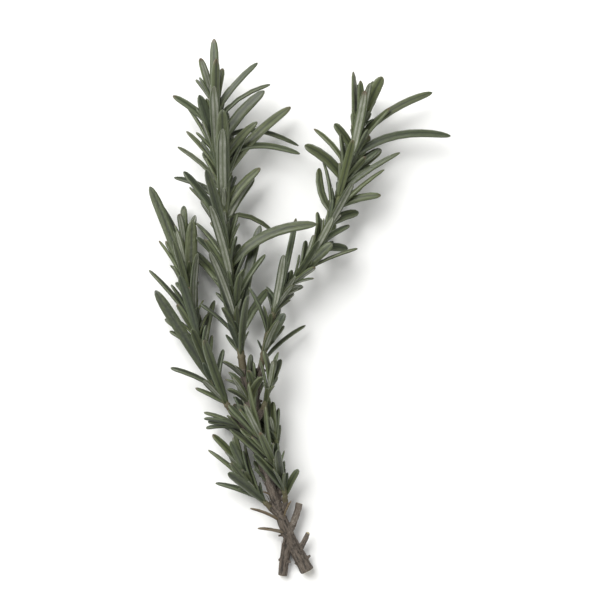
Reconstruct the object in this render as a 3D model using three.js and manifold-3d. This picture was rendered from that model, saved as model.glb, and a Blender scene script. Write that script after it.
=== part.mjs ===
/**
 * A cut sprig of rosemary lying on its side. A woody stem forks into three green leafy shoots,
 * and short leafy spurs grow from the wood below the fork.
 *
 * Millimetres, +Z up. The sprig lies on the plane Z = 0 with its cut end towards -Y and its
 * longest shoot towards +Y. The origin is the middle of its outline, on that plane.
 *
 * Each leafy shoot is one solid: its green stem with every leaf rooted in the middle of the stem.
 */
import * as THREE from "three";
import { mergeVertices } from "three/addons/utils/BufferGeometryUtils.js";
import Module from "manifold-3d";

const wasm = await Module();
wasm.setup();

// Driving dimensions of a full-grown leaf and of the stems.
const LEAF_LENGTH = 24;
const LEAF_WIDTH = 2.9;
const LEAF_THICKNESS = 0.95;
const STEM_RADIUS_CUT_END = 2.1;
const STEM_RADIUS_FORK = 1.35;
const BRANCH_RADIUS = 1.2;
const BRANCH_RADIUS_GREEN = 1.05;
const STEM_RADIUS_FOOT = 1.1;
const SPUR_RADIUS = 0.9;
const STEM_RADIUS_TIP = 0.6;

// How leaves are set on a stem: opposite pairs, each pair turned a quarter from the last.
const QUARTER_TURN = 90;
const PAIR_JITTER = 18;
const LENGTH_JITTER = 0.3;
const AXIL_LEAF_SHARE = 0.5;
const AXIL_LEAF_SWING = 36;
const CROWN_TURN = 137.5;
const DEFAULT_LEAN = 0.5;
const UPPER_SIDE_UP = 0.2;
const MEASURED_UPPER_SIDE_UP = 0.65;
const GREEN_END_GAP = 0.3;

// What keeps leaves apart. Turns are tried in this order, in degrees round the stem.
const TURNS_TRIED = [0, 13, -13, 26, -26, 39, -39];
const OWN_LEAF_GAP = 1.3;
const OTHER_SHOOT_GAP = 3.1;
const OWN_STEM_GAP = 0.5;
const OTHER_STEM_GAP = 1.9;
const LEAF_SAMPLES = 14;
const ROOT_SHARE = 0.4;
const STEM_SAMPLE_STATIONS = 0.15;

// A leaf that reaches the table lies on it, with its midrib this high at the tip.
const LYING_HEIGHT = 0.15;
const TABLE_SLAB = 20;

// Edges shorter than this, where leaves cross near their roots, are closed up.
const SHORTEST_EDGE = 0.01;

// A leaf's section, as shares of half its width and half its thickness: narrower above, because
// its margins are rolled down.
const LEAF_SECTION = [
  [-0.8, 1],
  [0.8, 1],
  [1, -0.8],
  [-1, -0.8],
];

// Rings along a leaf, from root to tip, each with its place and its shares of width and thickness.
const LONG_LEAF_RINGS = [
  [0, 0.3, 0.8],
  [0.3, 0.92, 1],
  [0.6, 1, 1],
  [0.92, 0.8, 0.85],
  [1, 0, 0],
];
const SHORT_LEAF_RINGS = [
  [0, 0.3, 0.8],
  [0.42, 1, 1],
  [0.92, 0.8, 0.85],
  [1, 0, 0],
];
const WOOD_SIDES = 8;
const SHOOT_SIDES = 6;
const RINGS_PER_SPAN = 2;

/** Draws the same numbers on every run: the Park and Miller generator. */
class Draws {
  constructor(seed) {
    this.state = seed;
  }

  /** The next number, from 0 to 1. */
  next() {
    this.state = (this.state * 16807) % 2147483647;
    return this.state / 2147483647;
  }

  /** The next number, from -1 to 1. */
  swing() {
    return 2 * this.next() - 1;
  }
}

/** A stem's middle line through points chosen by hand. A station counts those points from 0. */
class StemLine {
  constructor(points, startRadius, endRadius) {
    this.spans = points.length - 1;
    this.curve = new THREE.CatmullRomCurve3(
      points.map((p) => new THREE.Vector3(...p)),
      false,
      "catmullrom",
    );
    this.startRadius = startRadius;
    this.endRadius = endRadius;
  }

  pointAt(station) {
    return this.curve.getPoint(THREE.MathUtils.clamp(station / this.spans, 0, 1));
  }

  directionAt(station) {
    const step = 0.01;
    const before = this.pointAt(Math.max(0, station - step));
    const after = this.pointAt(Math.min(this.spans, station + step));
    return after.sub(before).normalize();
  }

  radiusAt(station) {
    return THREE.MathUtils.lerp(this.startRadius, this.endRadius, station / this.spans);
  }
}

const UP = new THREE.Vector3(0, 0, 1);

/** Directions across a path and out of its upper side, rolled about the path by some degrees. */
function sectionAxes(along, upper, roll = 0) {
  const across = along.clone().cross(upper).normalize();
  const out = across.clone().cross(along);
  const angle = THREE.MathUtils.degToRad(roll);
  return {
    across: across
      .clone()
      .multiplyScalar(Math.cos(angle))
      .addScaledVector(out, Math.sin(angle)),
    out: out
      .clone()
      .multiplyScalar(Math.cos(angle))
      .addScaledVector(across, -Math.sin(angle)),
  };
}

/**
 * Bends a straight unit cylinder or cone, one unit tall on Y, on to a path.
 * ringAt(share) gives a ring's middle, its axes, and the place of each corner in its section.
 */
function bend(straight, sides, ringAt) {
  const positions = straight.getAttribute("position");
  for (let i = 0; i < positions.count; i += 1) {
    const [x, y, z] = [positions.getX(i), positions.getY(i), positions.getZ(i)];
    const ring = ringAt(y + 0.5);
    const place = ring.middle.clone();
    if (Math.hypot(x, z) > 1e-4) {
      const corner = Math.round((Math.atan2(x, z) / (2 * Math.PI)) * sides + sides) % sides;
      const [across, out] = ring.corner(corner);
      place.addScaledVector(ring.across, across).addScaledVector(ring.out, out);
    }
    positions.setXYZ(i, place.x, place.y, place.z);
  }
  return straight;
}

/** The solid of a closed three.js geometry. */
function solidOf(geometry) {
  geometry.deleteAttribute("normal");
  geometry.deleteAttribute("uv");
  const merged = mergeVertices(geometry, 1e-4);
  return new wasm.Manifold(
    new wasm.Mesh({
      numProp: 3,
      vertProperties: merged.getAttribute("position").array,
      triVerts: new Uint32Array(merged.index.array),
    }),
  );
}

/** A tapering stem along its line, with a flat side down. */
function stemSolid(line, sides, firstStation, lastStation) {
  const rings = Math.max(2, Math.round((lastStation - firstStation) * RINGS_PER_SPAN));
  const straight = new THREE.CylinderGeometry(1, 1, 1, sides, rings);
  const ringAt = (share) => {
    const station = THREE.MathUtils.lerp(firstStation, lastStation, share);
    const radius = line.radiusAt(station);
    return {
      middle: line.pointAt(station),
      ...sectionAxes(line.directionAt(station), UP),
      corner: (k) => {
        const angle = ((k + 0.5) / sides) * 2 * Math.PI;
        return [radius * Math.sin(angle), radius * Math.cos(angle)];
      },
    };
  };
  return solidOf(bend(straight, sides, ringAt));
}

/** One leaf: its midrib, its width, and which way its upper side faces. */
class Leaf {
  constructor(base, tip, forward, { width, facing, rings, roll = 0, lean = DEFAULT_LEAN }) {
    const chord = tip.clone().sub(base);
    const leave = chord.clone().normalize().addScaledVector(forward, lean).normalize();
    const control = base.clone().addScaledVector(leave, chord.length() / 2);
    const lies = tip.z <= LYING_HEIGHT;
    control.z = lies ? LYING_HEIGHT : Math.max(control.z, LYING_HEIGHT);
    this.midrib = new THREE.QuadraticBezierCurve3(base, control, tip);
    this.width = width;
    this.rings = rings;
    this.roll = lies ? 0 : roll;
    const up = lies ? 1 : facing;
    this.upper = forward.clone().multiplyScalar(1 - up).addScaledVector(UP, up);
  }

  /** Points spread evenly along the midrib, from the root to the tip. */
  samples() {
    return Array.from({ length: LEAF_SAMPLES }, (_, i) =>
      this.midrib.getPoint((i + 1) / LEAF_SAMPLES),
    );
  }

  solid() {
    const sides = LEAF_SECTION.length;
    const thickness = LEAF_THICKNESS * Math.min(1, 0.55 + (0.45 * this.width) / LEAF_WIDTH);
    const spans = this.rings.length - 1;
    const ringAt = (share) => {
      const [place, widthShare, thicknessShare] = this.rings[Math.round(share * spans)];
      const halfWidth = (this.width * widthShare) / 2;
      const halfThickness = (thickness * thicknessShare) / 2;
      return {
        middle: this.midrib.getPoint(place),
        ...sectionAxes(this.midrib.getTangent(place), this.upper, this.roll),
        corner: (k) => [LEAF_SECTION[k][0] * halfWidth, LEAF_SECTION[k][1] * halfThickness],
      };
    };
    return solidOf(bend(new THREE.ConeGeometry(1, 1, sides, spans), sides, ringAt));
  }
}

/** Everything placed so far, as points with the solid they belong to, to keep leaves apart. */
class Room {
  constructor() {
    this.leafPoints = [];
    this.stemPoints = [];
  }

  addStem(node, line) {
    for (let station = 0; station <= line.spans; station += STEM_SAMPLE_STATIONS) {
      this.stemPoints.push({
        node,
        point: line.pointAt(station),
        radius: line.radiusAt(station),
      });
    }
  }

  addLeaf(node, leaf) {
    leaf.samples().forEach((point, i) => {
      this.leafPoints.push({ node, point, free: (i + 1) / LEAF_SAMPLES > ROOT_SHARE });
    });
  }

  /** Whether a leaf of the node passes clear of all that is there. */
  isClear(node, leaf) {
    return leaf.samples().every((sample, i) => {
      const free = (i + 1) / LEAF_SAMPLES > ROOT_SHARE;
      const clearOfLeaves = this.leafPoints.every((other) => {
        if (other.node !== node) return sample.distanceTo(other.point) > OTHER_SHOOT_GAP;
        return !free || !other.free || sample.distanceTo(other.point) > OWN_LEAF_GAP;
      });
      const clearOfStems = this.stemPoints.every((other) => {
        const own = other.node === node;
        if (own && !free) return true;
        const gap = other.radius + (own ? OWN_STEM_GAP : OTHER_STEM_GAP);
        return sample.distanceTo(other.point) > gap;
      });
      return clearOfLeaves && clearOfStems;
    });
  }
}

/** The tip of a leaf of a length that leaves a base in a direction, kept above the table. */
function tipAbove(base, direction, length) {
  const tip = base.clone().addScaledVector(direction, length);
  if (tip.z > LYING_HEIGHT) return tip;
  const drop = base.z - LYING_HEIGHT;
  const level = new THREE.Vector3(direction.x, direction.y, 0).normalize();
  const reach = Math.sqrt(Math.max(0, length * length - drop * drop));
  tip.copy(base).addScaledVector(level, reach);
  tip.z = LYING_HEIGHT;
  return tip;
}

/** A leaf that leaves the stem at an angle to it, at a place round it: 0 right, 90 above. */
function leafAt(line, station, round, angle, length, width, twist) {
  const base = line.pointAt(station);
  const forward = line.directionAt(station);
  const { across, out } = sectionAxes(forward, UP);
  const place = THREE.MathUtils.degToRad(round);
  const slant = THREE.MathUtils.degToRad(angle);
  const direction = across
    .multiplyScalar(Math.cos(place) * Math.sin(slant))
    .addScaledVector(out, Math.sin(place) * Math.sin(slant))
    .addScaledVector(forward, Math.cos(slant));
  const tip = tipAbove(base, direction, length);
  const facing = UPPER_SIDE_UP;
  return new Leaf(base, tip, forward, { width, facing, rings: SHORT_LEAF_RINGS, roll: twist });
}

/** A leafy shoot: measured leaves seen from above, and pairs set by rule in the room left. */
class Shoot {
  constructor(name, line, seed, plan) {
    this.name = name;
    this.line = line;
    this.draws = new Draws(seed);
    this.plan = plan;
    this.leaves = [];
  }

  /** Leaves measured one by one: station on the stem, tip, width, and roll and lean if given. */
  placeMeasured(room) {
    for (const [station, tip, width, roll, lean] of this.plan.measured) {
      const leaf = new Leaf(
        this.line.pointAt(station),
        new THREE.Vector3(...tip),
        this.line.directionAt(station),
        { width, facing: MEASURED_UPPER_SIDE_UP, rings: LONG_LEAF_RINGS, roll, lean },
      );
      this.leaves.push(leaf);
      room.addLeaf(this.name, leaf);
    }
  }

  /** Adds a leaf by rule, turned round the stem until it is clear, or left out. */
  placeInRoom(room, station, round, angle, length) {
    const twist = 24 * this.draws.swing();
    const width = LEAF_WIDTH * (0.5 + (0.5 * length) / LEAF_LENGTH) * (1 + 0.12 * this.draws.swing());
    for (const turn of TURNS_TRIED) {
      const leaf = leafAt(this.line, station, round + turn, angle, length, width, twist);
      if (room.isClear(this.name, leaf)) {
        this.leaves.push(leaf);
        room.addLeaf(this.name, leaf);
        return;
      }
    }
  }

  /** Opposite pairs up the stem with smaller leaves in their axils, then the crown of the tip. */
  placeByRule(room) {
    const { firstPair, lastPair, pairs, leafLength, wideAngle, narrowAngle } = this.plan;
    for (let pair = 0; pair < pairs; pair += 1) {
      const share = pair / (pairs - 1);
      const station = THREE.MathUtils.lerp(firstPair, lastPair, share);
      const angle = THREE.MathUtils.lerp(wideAngle, narrowAngle, share);
      for (const side of [0, 180]) {
        const round = side + QUARTER_TURN * (pair + 1) + PAIR_JITTER * this.draws.swing();
        const length = leafLength * (1 + LENGTH_JITTER * (this.draws.swing() - 0.3));
        this.placeInRoom(room, station, round, angle, length);
        const swing = this.draws.next() < 0.5 ? AXIL_LEAF_SWING : -AXIL_LEAF_SWING;
        const small = length * AXIL_LEAF_SHARE * (0.75 + 0.5 * this.draws.next());
        this.placeInRoom(room, station + 0.06, round + swing, angle * 0.9, small);
      }
    }
    for (let k = 0; k < this.plan.crown; k += 1) {
      const length = leafLength * (0.35 + 0.35 * this.draws.next());
      this.placeInRoom(room, this.line.spans - 0.1, CROWN_TURN * k, 10 + 3 * k, length);
    }
  }

  /** Leaves out those leaves by rule that would reach over bare ground in the picture. */
  leaveOut() {
    const { leftOut = [] } = this.plan;
    this.leaves = this.leaves.filter((leaf, index) => !leftOut.includes(index));
  }

  /** The green stem with its leaves, from just past the end of the wood. */
  solid() {
    const firstLength = this.line.pointAt(0).distanceTo(this.line.pointAt(1));
    const start = GREEN_END_GAP / firstLength;
    const stem = stemSolid(this.line, SHOOT_SIDES, start, this.line.spans);
    return wasm.Manifold.union([stem, ...this.leaves.map((leaf) => leaf.solid())]);
  }
}

// The wood: the stem from its cut end to the fork, and the two side branches that leave it.
const trunk = new StemLine(
  [
    [2.2, -80.8, 1.9],
    [-4.2, -68.5, 3],
    [-8.4, -56.7, 4.8],
    [-12.2, -44.5, 6.8],
    [-14.7, -33.2, 8.2],
    [-17.2, -20.6, 9.5],
  ],
  STEM_RADIUS_CUT_END,
  STEM_RADIUS_FORK,
);
const rightBranch = new StemLine(
  [
    [-13.7, -38, 7.6],
    [-13.2, -29, 8.6],
    [-11.8, -19.7, 9.6],
  ],
  BRANCH_RADIUS,
  BRANCH_RADIUS_GREEN,
);
const leftBranch = new StemLine(
  [
    [-11, -48.5, 6.2],
    [-14.8, -42, 6.9],
    [-19.7, -34.9, 7.5],
  ],
  BRANCH_RADIUS,
  BRANCH_RADIUS_GREEN,
);

const mainShoot = new Shoot(
  "main_shoot",
  new StemLine(
    [
      [-17.2, -20.6, 9.5],
      [-19.3, -5.9, 10.4],
      [-21, 8.8, 10.4],
      [-23.1, 25.6, 9.8],
      [-24.8, 41.6, 9],
      [-26, 55, 8.8],
      [-26.9, 64.7, 9.2],
    ],
    STEM_RADIUS_FORK,
    STEM_RADIUS_TIP,
  ),
  12,
  {
    measured: [
      [5.55, [-26.7, 82, 12], 3.3],
      [5.4, [-31.1, 76.4, 10], 2.8, 150],
      [5.35, [-13.2, 75.2, 9], 2.1],
      [4.85, [-39.5, 64.3, 10], 2.5],
      [5, [-9.2, 67.6, 11], 2.3, 30, 1],
      [4.45, [-10.9, 64.7, 14], 4.2],
      [4, [-13, 54.6, 15], 3.4],
      [3.7, [-2.9, 61.3, 8], 3.4],
      [4.5, [-0.4, 49.6, 5], 1.7, 0, 1.2],
      [4.1, [0, 45.8, 10], 2.4, 0, 1],
      [3, [-23.5, 57.5, 19], 4.2, 0, 0.6],
      [3.85, [-31, 63.4, 14], 3.4],
      [3.9, [-35.3, 53.3, 9], 1.5],
      [3.6, [-38.2, 49.1, 6], 1.5],
      [3.2, [-39.1, 39.1, 7], 2.1, 0, 1.3],
      [2.7, [-35.7, 39.9, 12], 3.3, -35],
      [3.1, [-12.2, 41.2, 11], 3.1],
      [2.9, [-14.3, 39.1, 7], 3.1, 160],
      [3, [-8.4, 22.3, 6], 1.8, 0, 0.8],
      [2.1, [5, 22.6, 16], 3.8, 0, 0.9],
      [0.7, [-12.2, 23.9, 8], 3.2],
      [0.1, [-25.2, 8.8, 13], 2.1],
      [1.9, [-31.5, 19.3, 13], 2],
    ],
    firstPair: 0.25,
    lastPair: 5.6,
    pairs: 16,
    leafLength: LEAF_LENGTH,
    wideAngle: 42,
    narrowAngle: 20,
    crown: 6,
    leftOut: [44, 50, 58, 66, 74, 75, 76, 78, 80, 82, 83],
  },
);

const rightShoot = new Shoot(
  "right_shoot",
  new StemLine(
    [
      [-11.8, -19.7, 9.6],
      [-9.7, -9.7, 10.3],
      [-6.7, -0.4, 10.4],
      [-1.7, 6.3, 10.2],
      [3.4, 13.9, 9.8],
      [7.6, 21.4, 9.2],
      [10.9, 29.8, 8.8],
      [13.9, 38.2, 8.6],
      [16.8, 47.5, 8.8],
      [18.9, 55.9, 9.4],
    ],
    BRANCH_RADIUS_GREEN,
    STEM_RADIUS_TIP,
  ),
  23,
  {
    measured: [
      [8, [16.4, 71.8, 11], 3.3, 140],
      [8.6, [18.5, 68, 14], 2.6],
      [8.9, [25.2, 68.9, 15], 3.6],
      [8.9, [22.7, 69.3, 9], 2.6],
      [8.3, [41.2, 65.9, 8], 2.6, 0, 0.8],
      [7.7, [46.6, 51.7, 9], 3, 0, 1],
      [7.9, [10.5, 55.4, 10], 2.8],
      [7.3, [4.2, 54.6, 7], 1.9],
      [6.9, [1.3, 48.3, 11], 3.9],
      [5.7, [5.9, 42.4, 6], 2.4, 0, -0.4],
      [6.8, [25.2, 48.3, 6], 3.5, 170],
      [6.5, [30.7, 45.8, 12], 2],
      [5.9, [24.8, 32.8, 10], 2.9],
      [5.3, [18.1, 28.1, 7], 3.6],
      [4.3, [14.7, 16.8, 6], 2.8],
      [3.2, [9.7, 17.2, 14], 3.2],
      [2.3, [0.8, 5.5, 4], 2.2, 180],
      [1.9, [-10.5, 4.6, 10], 1.2],
      [1.9, [-1.3, 26.9, 4], 1.9],
      [0.4, [-4.6, -4.2, 14], 2.9],
      [0.1, [1.7, -6.7, 5], 1.3],
    ],
    firstPair: 0.35,
    lastPair: 8.6,
    pairs: 15,
    leafLength: LEAF_LENGTH * 0.92,
    wideAngle: 40,
    narrowAngle: 24,
    crown: 5,
    leftOut: [26, 30, 31, 36, 43, 45, 60, 66],
  },
);

const leftShoot = new Shoot(
  "left_shoot",
  new StemLine(
    [
      [-19.7, -34.9, 7.5],
      [-25.2, -26, 8],
      [-29.4, -16.4, 8],
      [-32.3, -5.9, 7.6],
      [-34, 4.6, 7.2],
      [-35.3, 14.3, 7],
      [-35.7, 21.4, 7],
    ],
    BRANCH_RADIUS_GREEN,
    STEM_RADIUS_TIP,
  ),
  38,
  {
    measured: [
      [5.4, [-35.7, 29, 8], 1.9],
      [4.9, [-32.3, 27.3, 7], 2.5, 150],
      [2.9, [-32.8, 24.8, 12], 3.8],
      [4, [-46.4, 36.1, 8], 3.2],
      [1, [-44.1, 3.4, 10], 3.4],
      [2.2, [-41.6, -4.6, 4], 2],
      [4.4, [-41.5, 19.3, 6], 2],
    ],
    firstPair: 0.4,
    lastPair: 5.5,
    pairs: 11,
    leafLength: LEAF_LENGTH * 0.85,
    wideAngle: 38,
    narrowAngle: 18,
    crown: 4,
    leftOut: [40, 41],
  },
);

/** A short leafy spur on the lower wood: nearly all its leaves are set by rule. */
function spur(name, seed, points, pairs, leafLength, { measured = [], leftOut = [] } = {}) {
  const line = new StemLine(points, SPUR_RADIUS, STEM_RADIUS_TIP);
  return new Shoot(name, line, seed, {
    measured,
    firstPair: 0.25,
    lastPair: line.spans - 0.15,
    pairs,
    leafLength,
    wideAngle: 32,
    narrowAngle: 15,
    crown: 4,
    leftOut,
  });
}

const spurs = [
  spur(
    "front_spur",
    41,
    [
      [-4.4, -60, 5.5],
      [-5.2, -55, 8],
      [-8, -48.5, 10.4],
      [-12, -41, 12],
    ],
    8,
    LEAF_LENGTH * 0.8,
    { leftOut: [1, 2, 3, 5, 6] },
  ),
  spur(
    "left_spur",
    43,
    [
      [-9.2, -61.8, 4.6],
      [-13.6, -57, 5.4],
      [-17, -50.5, 6],
    ],
    6,
    LEAF_LENGTH * 0.75,
    { measured: [[1, [-22, -45, LYING_HEIGHT], 2.7]] },
  ),
  spur(
    "right_spur",
    47,
    [
      [-11.2, -32.6, 9.6],
      [-9.6, -27.6, 10.8],
      [-8.8, -22.5, 11.6],
    ],
    5,
    LEAF_LENGTH * 0.6,
    { leftOut: [1, 2, 5] },
  ),
  spur(
    "low_spur",
    53,
    [
      [-7.3, -49.6, 6.4],
      [-6.9, -44.5, 7],
      [-7.9, -39.5, 7.4],
    ],
    5,
    LEAF_LENGTH * 0.62,
  ),
];

// The woody feet of the spurs, and the dried ends of twigs broken off near the cut end.
const spurFeet = [
  [
    [-6.1, -63.4, 3.8],
    [-4.8, -62, 4.6],
    [-4.4, -60, 5.5],
  ],
  [
    [-5.6, -64.6, 3.7],
    [-7.4, -63.4, 4.2],
    [-9.2, -61.8, 4.6],
  ],
  [
    [-14, -36.5, 7.8],
    [-12.2, -34.6, 8.9],
    [-11.2, -32.6, 9.6],
  ],
  [
    [-9.6, -53, 5.4],
    [-8.2, -51.4, 6],
    [-7.3, -49.6, 6.4],
  ],
].map((points) => new StemLine(points, STEM_RADIUS_FOOT, SPUR_RADIUS));
const driedTwigs = [
  new StemLine(
    [
      [-7.2, -60, 4.3],
      [-5.4, -54.5, 4.6],
      [-5.6, -48.2, 4],
    ],
    1.05,
    0.8,
  ),
  new StemLine(
    [
      [-3.6, -69.6, 2.9],
      [-1.6, -65.4, 3.4],
      [-0.3, -60.6, 3.2],
    ],
    1,
    1.15,
  ),
  new StemLine(
    [
      [-0.6, -75.4, 2.3],
      [1, -72.6, 3.2],
      [2.4, -69.4, 4.4],
    ],
    0.9,
    0.65,
  ),
  new StemLine(
    [
      [-3.4, -70, 2.8],
      [-4.4, -75, 2],
      [-5.4, -82.2, 1.3],
    ],
    1.5,
    1.35,
  ),
];

/** A solid as a mesh with its own material, trimmed flat where it presses on the table. */
function nodeMesh(name, solid, color, roughness) {
  const slab = new THREE.BoxGeometry(1000, 1000, TABLE_SLAB).translate(0, 0, -TABLE_SLAB / 2);
  const trimmed = solid.subtract(solidOf(slab)).simplify(SHORTEST_EDGE);
  const { vertProperties, numProp, triVerts } = trimmed.getMesh();
  const positions = new Float32Array((vertProperties.length / numProp) * 3);
  for (let i = 0; i < positions.length / 3; i += 1) {
    positions.set(vertProperties.subarray(i * numProp, i * numProp + 3), i * 3);
  }
  const geometry = new THREE.BufferGeometry()
    .setAttribute("position", new THREE.BufferAttribute(positions, 3))
    .setIndex(new THREE.BufferAttribute(triVerts, 1));
  const material = new THREE.MeshStandardMaterial({ color, roughness, metalness: 0 });
  const mesh = new THREE.Mesh(geometry, material);
  mesh.name = name;
  return mesh;
}

const BARK = 0x6b5a48;
const LEAF_GREEN = 0x66704f;

const shoots = [mainShoot, rightShoot, leftShoot, ...spurs];
const wood = [trunk, rightBranch, leftBranch, ...spurFeet, ...driedTwigs];
const room = new Room();
wood.forEach((line) => room.addStem("woody_stem", line));
shoots.forEach((shoot) => room.addStem(shoot.name, shoot.line));
shoots.forEach((shoot) => shoot.placeMeasured(room));
shoots.forEach((shoot) => shoot.placeByRule(room));
shoots.forEach((shoot) => shoot.leaveOut());

const sprig = new THREE.Group();
const woodSolids = wood.map((line) => stemSolid(line, WOOD_SIDES, 0, line.spans));
sprig.add(nodeMesh("woody_stem", wasm.Manifold.union(woodSolids), BARK, 0.85));
shoots.forEach((shoot) => sprig.add(nodeMesh(shoot.name, shoot.solid(), LEAF_GREEN, 0.6)));

export default sprig;
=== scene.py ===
"""A cut sprig of rosemary, lying on a pale table and seen from above.

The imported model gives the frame: the woody stem and seven leafy shoots, each a plain faceted
solid. This script lays finer leaves, green stems and bark where those solids are. Stems and
leaves are planned in millimetres, by the same rule and the same numbers as the solids, and the
meshes are made in metres.
"""

import logging
import math
from dataclasses import dataclass, field
from enum import Enum
from typing import Callable, ClassVar, Iterator, Sequence

import bmesh
import bpy
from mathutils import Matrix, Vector, noise
from mathutils.kdtree import KDTree


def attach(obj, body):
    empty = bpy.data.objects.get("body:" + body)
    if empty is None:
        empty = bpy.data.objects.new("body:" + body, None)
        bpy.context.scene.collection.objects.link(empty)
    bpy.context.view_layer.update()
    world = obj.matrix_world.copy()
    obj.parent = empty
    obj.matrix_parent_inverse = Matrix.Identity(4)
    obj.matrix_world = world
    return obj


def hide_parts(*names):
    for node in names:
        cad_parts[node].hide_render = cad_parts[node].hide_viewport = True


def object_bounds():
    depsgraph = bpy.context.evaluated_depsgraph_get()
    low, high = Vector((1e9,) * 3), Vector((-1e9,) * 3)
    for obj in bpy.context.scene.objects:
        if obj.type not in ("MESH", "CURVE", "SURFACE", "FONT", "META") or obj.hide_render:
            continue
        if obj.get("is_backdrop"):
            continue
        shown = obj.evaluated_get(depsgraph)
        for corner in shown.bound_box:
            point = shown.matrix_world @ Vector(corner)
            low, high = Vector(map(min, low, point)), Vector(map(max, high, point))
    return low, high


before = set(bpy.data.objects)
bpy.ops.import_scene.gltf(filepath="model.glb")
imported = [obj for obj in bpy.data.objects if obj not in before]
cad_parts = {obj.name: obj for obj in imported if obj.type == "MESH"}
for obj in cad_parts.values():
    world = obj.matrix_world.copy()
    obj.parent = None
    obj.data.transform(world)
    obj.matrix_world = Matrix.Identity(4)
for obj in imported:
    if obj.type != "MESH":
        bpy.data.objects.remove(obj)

log = logging.getLogger("rosemary")

MM = 0.001
HEIGHT_DIGITS = 4
ROOT_BODY = "root"

# Where the rows of random draws start. The first three are added to a seed of the leaves' own.
FOLIAGE_DRAWS = 500
YOUNG_LEAF_DRAWS = 1000
TUFT_DRAWS = 2000
LIMB_DRAWS = 300
SCAR_DRAWS = 811
STRIP_DRAWS = 907

Span = tuple[float, float]
Triple = tuple[float, float, float]
Piece = bpy.types.Object
Material = bpy.types.Material
Socket = bpy.types.NodeSocket


# The plan: where every stem and leaf goes. It uses plain double precision throughout, so that
# the same leaves find room here as in the solids.


@dataclass(frozen=True)
class Place:
    """A point or a direction, in millimetres."""

    x: float
    y: float
    z: float

    def __add__(self, other: "Place") -> "Place":
        """The sum of two places."""
        return Place(self.x + other.x, self.y + other.y, self.z + other.z)

    def __sub__(self, other: "Place") -> "Place":
        """The way from another place to this one."""
        return Place(self.x - other.x, self.y - other.y, self.z - other.z)

    def __mul__(self, share: float) -> "Place":
        """This place, scaled from the origin."""
        return Place(self.x * share, self.y * share, self.z * share)

    def cross(self, other: "Place") -> "Place":
        """Finds the direction square to this one and another.

        Args:
            other: the other direction.

        Returns:
            The product of the two.
        """
        return Place(
            self.y * other.z - self.z * other.y,
            self.z * other.x - self.x * other.z,
            self.x * other.y - self.y * other.x,
        )

    def length(self) -> float:
        """How far the place is from the origin."""
        return math.sqrt(self.x * self.x + self.y * self.y + self.z * self.z)

    def unit(self) -> "Place":
        """The direction of this place, one millimetre long."""
        return self * (1 / (self.length() or 1))


UP = Place(0, 0, 1)


@dataclass(frozen=True)
class Axes:
    """Directions across a path and out of its upper side."""

    across: Place
    out: Place

    @staticmethod
    def of(along: Place, upper: Place, roll: float = 0.0) -> "Axes":
        """Finds the axes of a path.

        Args:
            along: the direction of the path.
            upper: a direction on the path's upper side.
            roll: a turn about the path, in degrees.

        Returns:
            The axes, square to the path and to each other.
        """
        across = along.cross(upper).unit()
        out = across.cross(along)
        angle = math.radians(roll)
        cosine, sine = math.cos(angle), math.sin(angle)
        return Axes(across * cosine + out * sine, out * cosine + across * -sine)


class Draws:
    """Draws the same numbers on every run: the Park and Miller generator."""

    def __init__(self, seed: int) -> None:
        """Starts the row of numbers at a seed."""
        self.state = seed

    def next(self) -> float:
        """The next number, from 0 to 1."""
        self.state = (self.state * 16807) % 2147483647
        return self.state / 2147483647

    def swing(self) -> float:
        """The next number, from -1 to 1."""
        return 2 * self.next() - 1


@dataclass(frozen=True)
class StemLine:
    """A stem's middle line through given points. A station counts them from 0."""

    STEP: ClassVar[float] = 0.01
    MARKS_A_SPAN: ClassVar[int] = 8

    points: tuple[Triple, ...]
    start_radius: float
    end_radius: float

    @property
    def spans(self) -> int:
        """The number of stretches between the points."""
        return len(self.points) - 1

    def point_at(self, station: float) -> Place:
        """Finds a place on the smooth line through the points.

        Args:
            station: how many points along the line, from 0.

        Returns:
            The place, in millimetres.
        """
        last = self.spans
        progress = last * min(1.0, max(0.0, station / last))
        first = min(int(math.floor(progress)), last - 1)
        share = progress - first
        knots = [Place(*point) for point in self.points]
        start, end = knots[first], knots[first + 1]
        before = knots[first - 1] if first > 0 else start + (start - end)
        after = knots[first + 2] if first + 2 <= last else end + (end - start)
        return Place(
            self._blend(before.x, start.x, end.x, after.x, share),
            self._blend(before.y, start.y, end.y, after.y, share),
            self._blend(before.z, start.z, end.z, after.z, share),
        )

    @staticmethod
    def _blend(before: float, start: float, end: float, after: float, share: float) -> float:
        """Finds one coordinate of the smooth curve between two knots.

        Args:
            before: the knot before the two.
            start: the first of the two.
            end: the second.
            after: the knot after them.
            share: how far from the first to the second.

        Returns:
            The coordinate.
        """
        leave, arrive = 0.5 * (end - before), 0.5 * (after - start)
        square = -3 * start + 3 * end - 2 * leave - arrive
        cube = 2 * start - 2 * end + leave + arrive
        return start + leave * share + square * share * share + cube * share * share * share

    def direction_at(self, station: float) -> Place:
        """Finds the line's direction.

        Args:
            station: how many points along the line, from 0.

        Returns:
            The direction, one millimetre long.
        """
        before = self.point_at(max(0.0, station - self.STEP))
        after = self.point_at(min(float(self.spans), station + self.STEP))
        return (after - before).unit()

    def frame_at(self, share: float) -> tuple[Place, Axes]:
        """The line's place and axes at a share of its length."""
        station = share * self.spans
        return self.point_at(station), Axes.of(self.direction_at(station), UP)

    def radius_at(self, station: float) -> float:
        """The stem's radius at a station."""
        share = station / self.spans
        return self.start_radius + (self.end_radius - self.start_radius) * share

    def length(self) -> float:
        """Adds up the line's length.

        Returns:
            The length, in millimetres.
        """
        steps = self.spans * self.MARKS_A_SPAN
        marks = [self.point_at(i * self.spans / steps) for i in range(steps + 1)]
        return sum((b - a).length() for a, b in zip(marks, marks[1:]))


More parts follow.
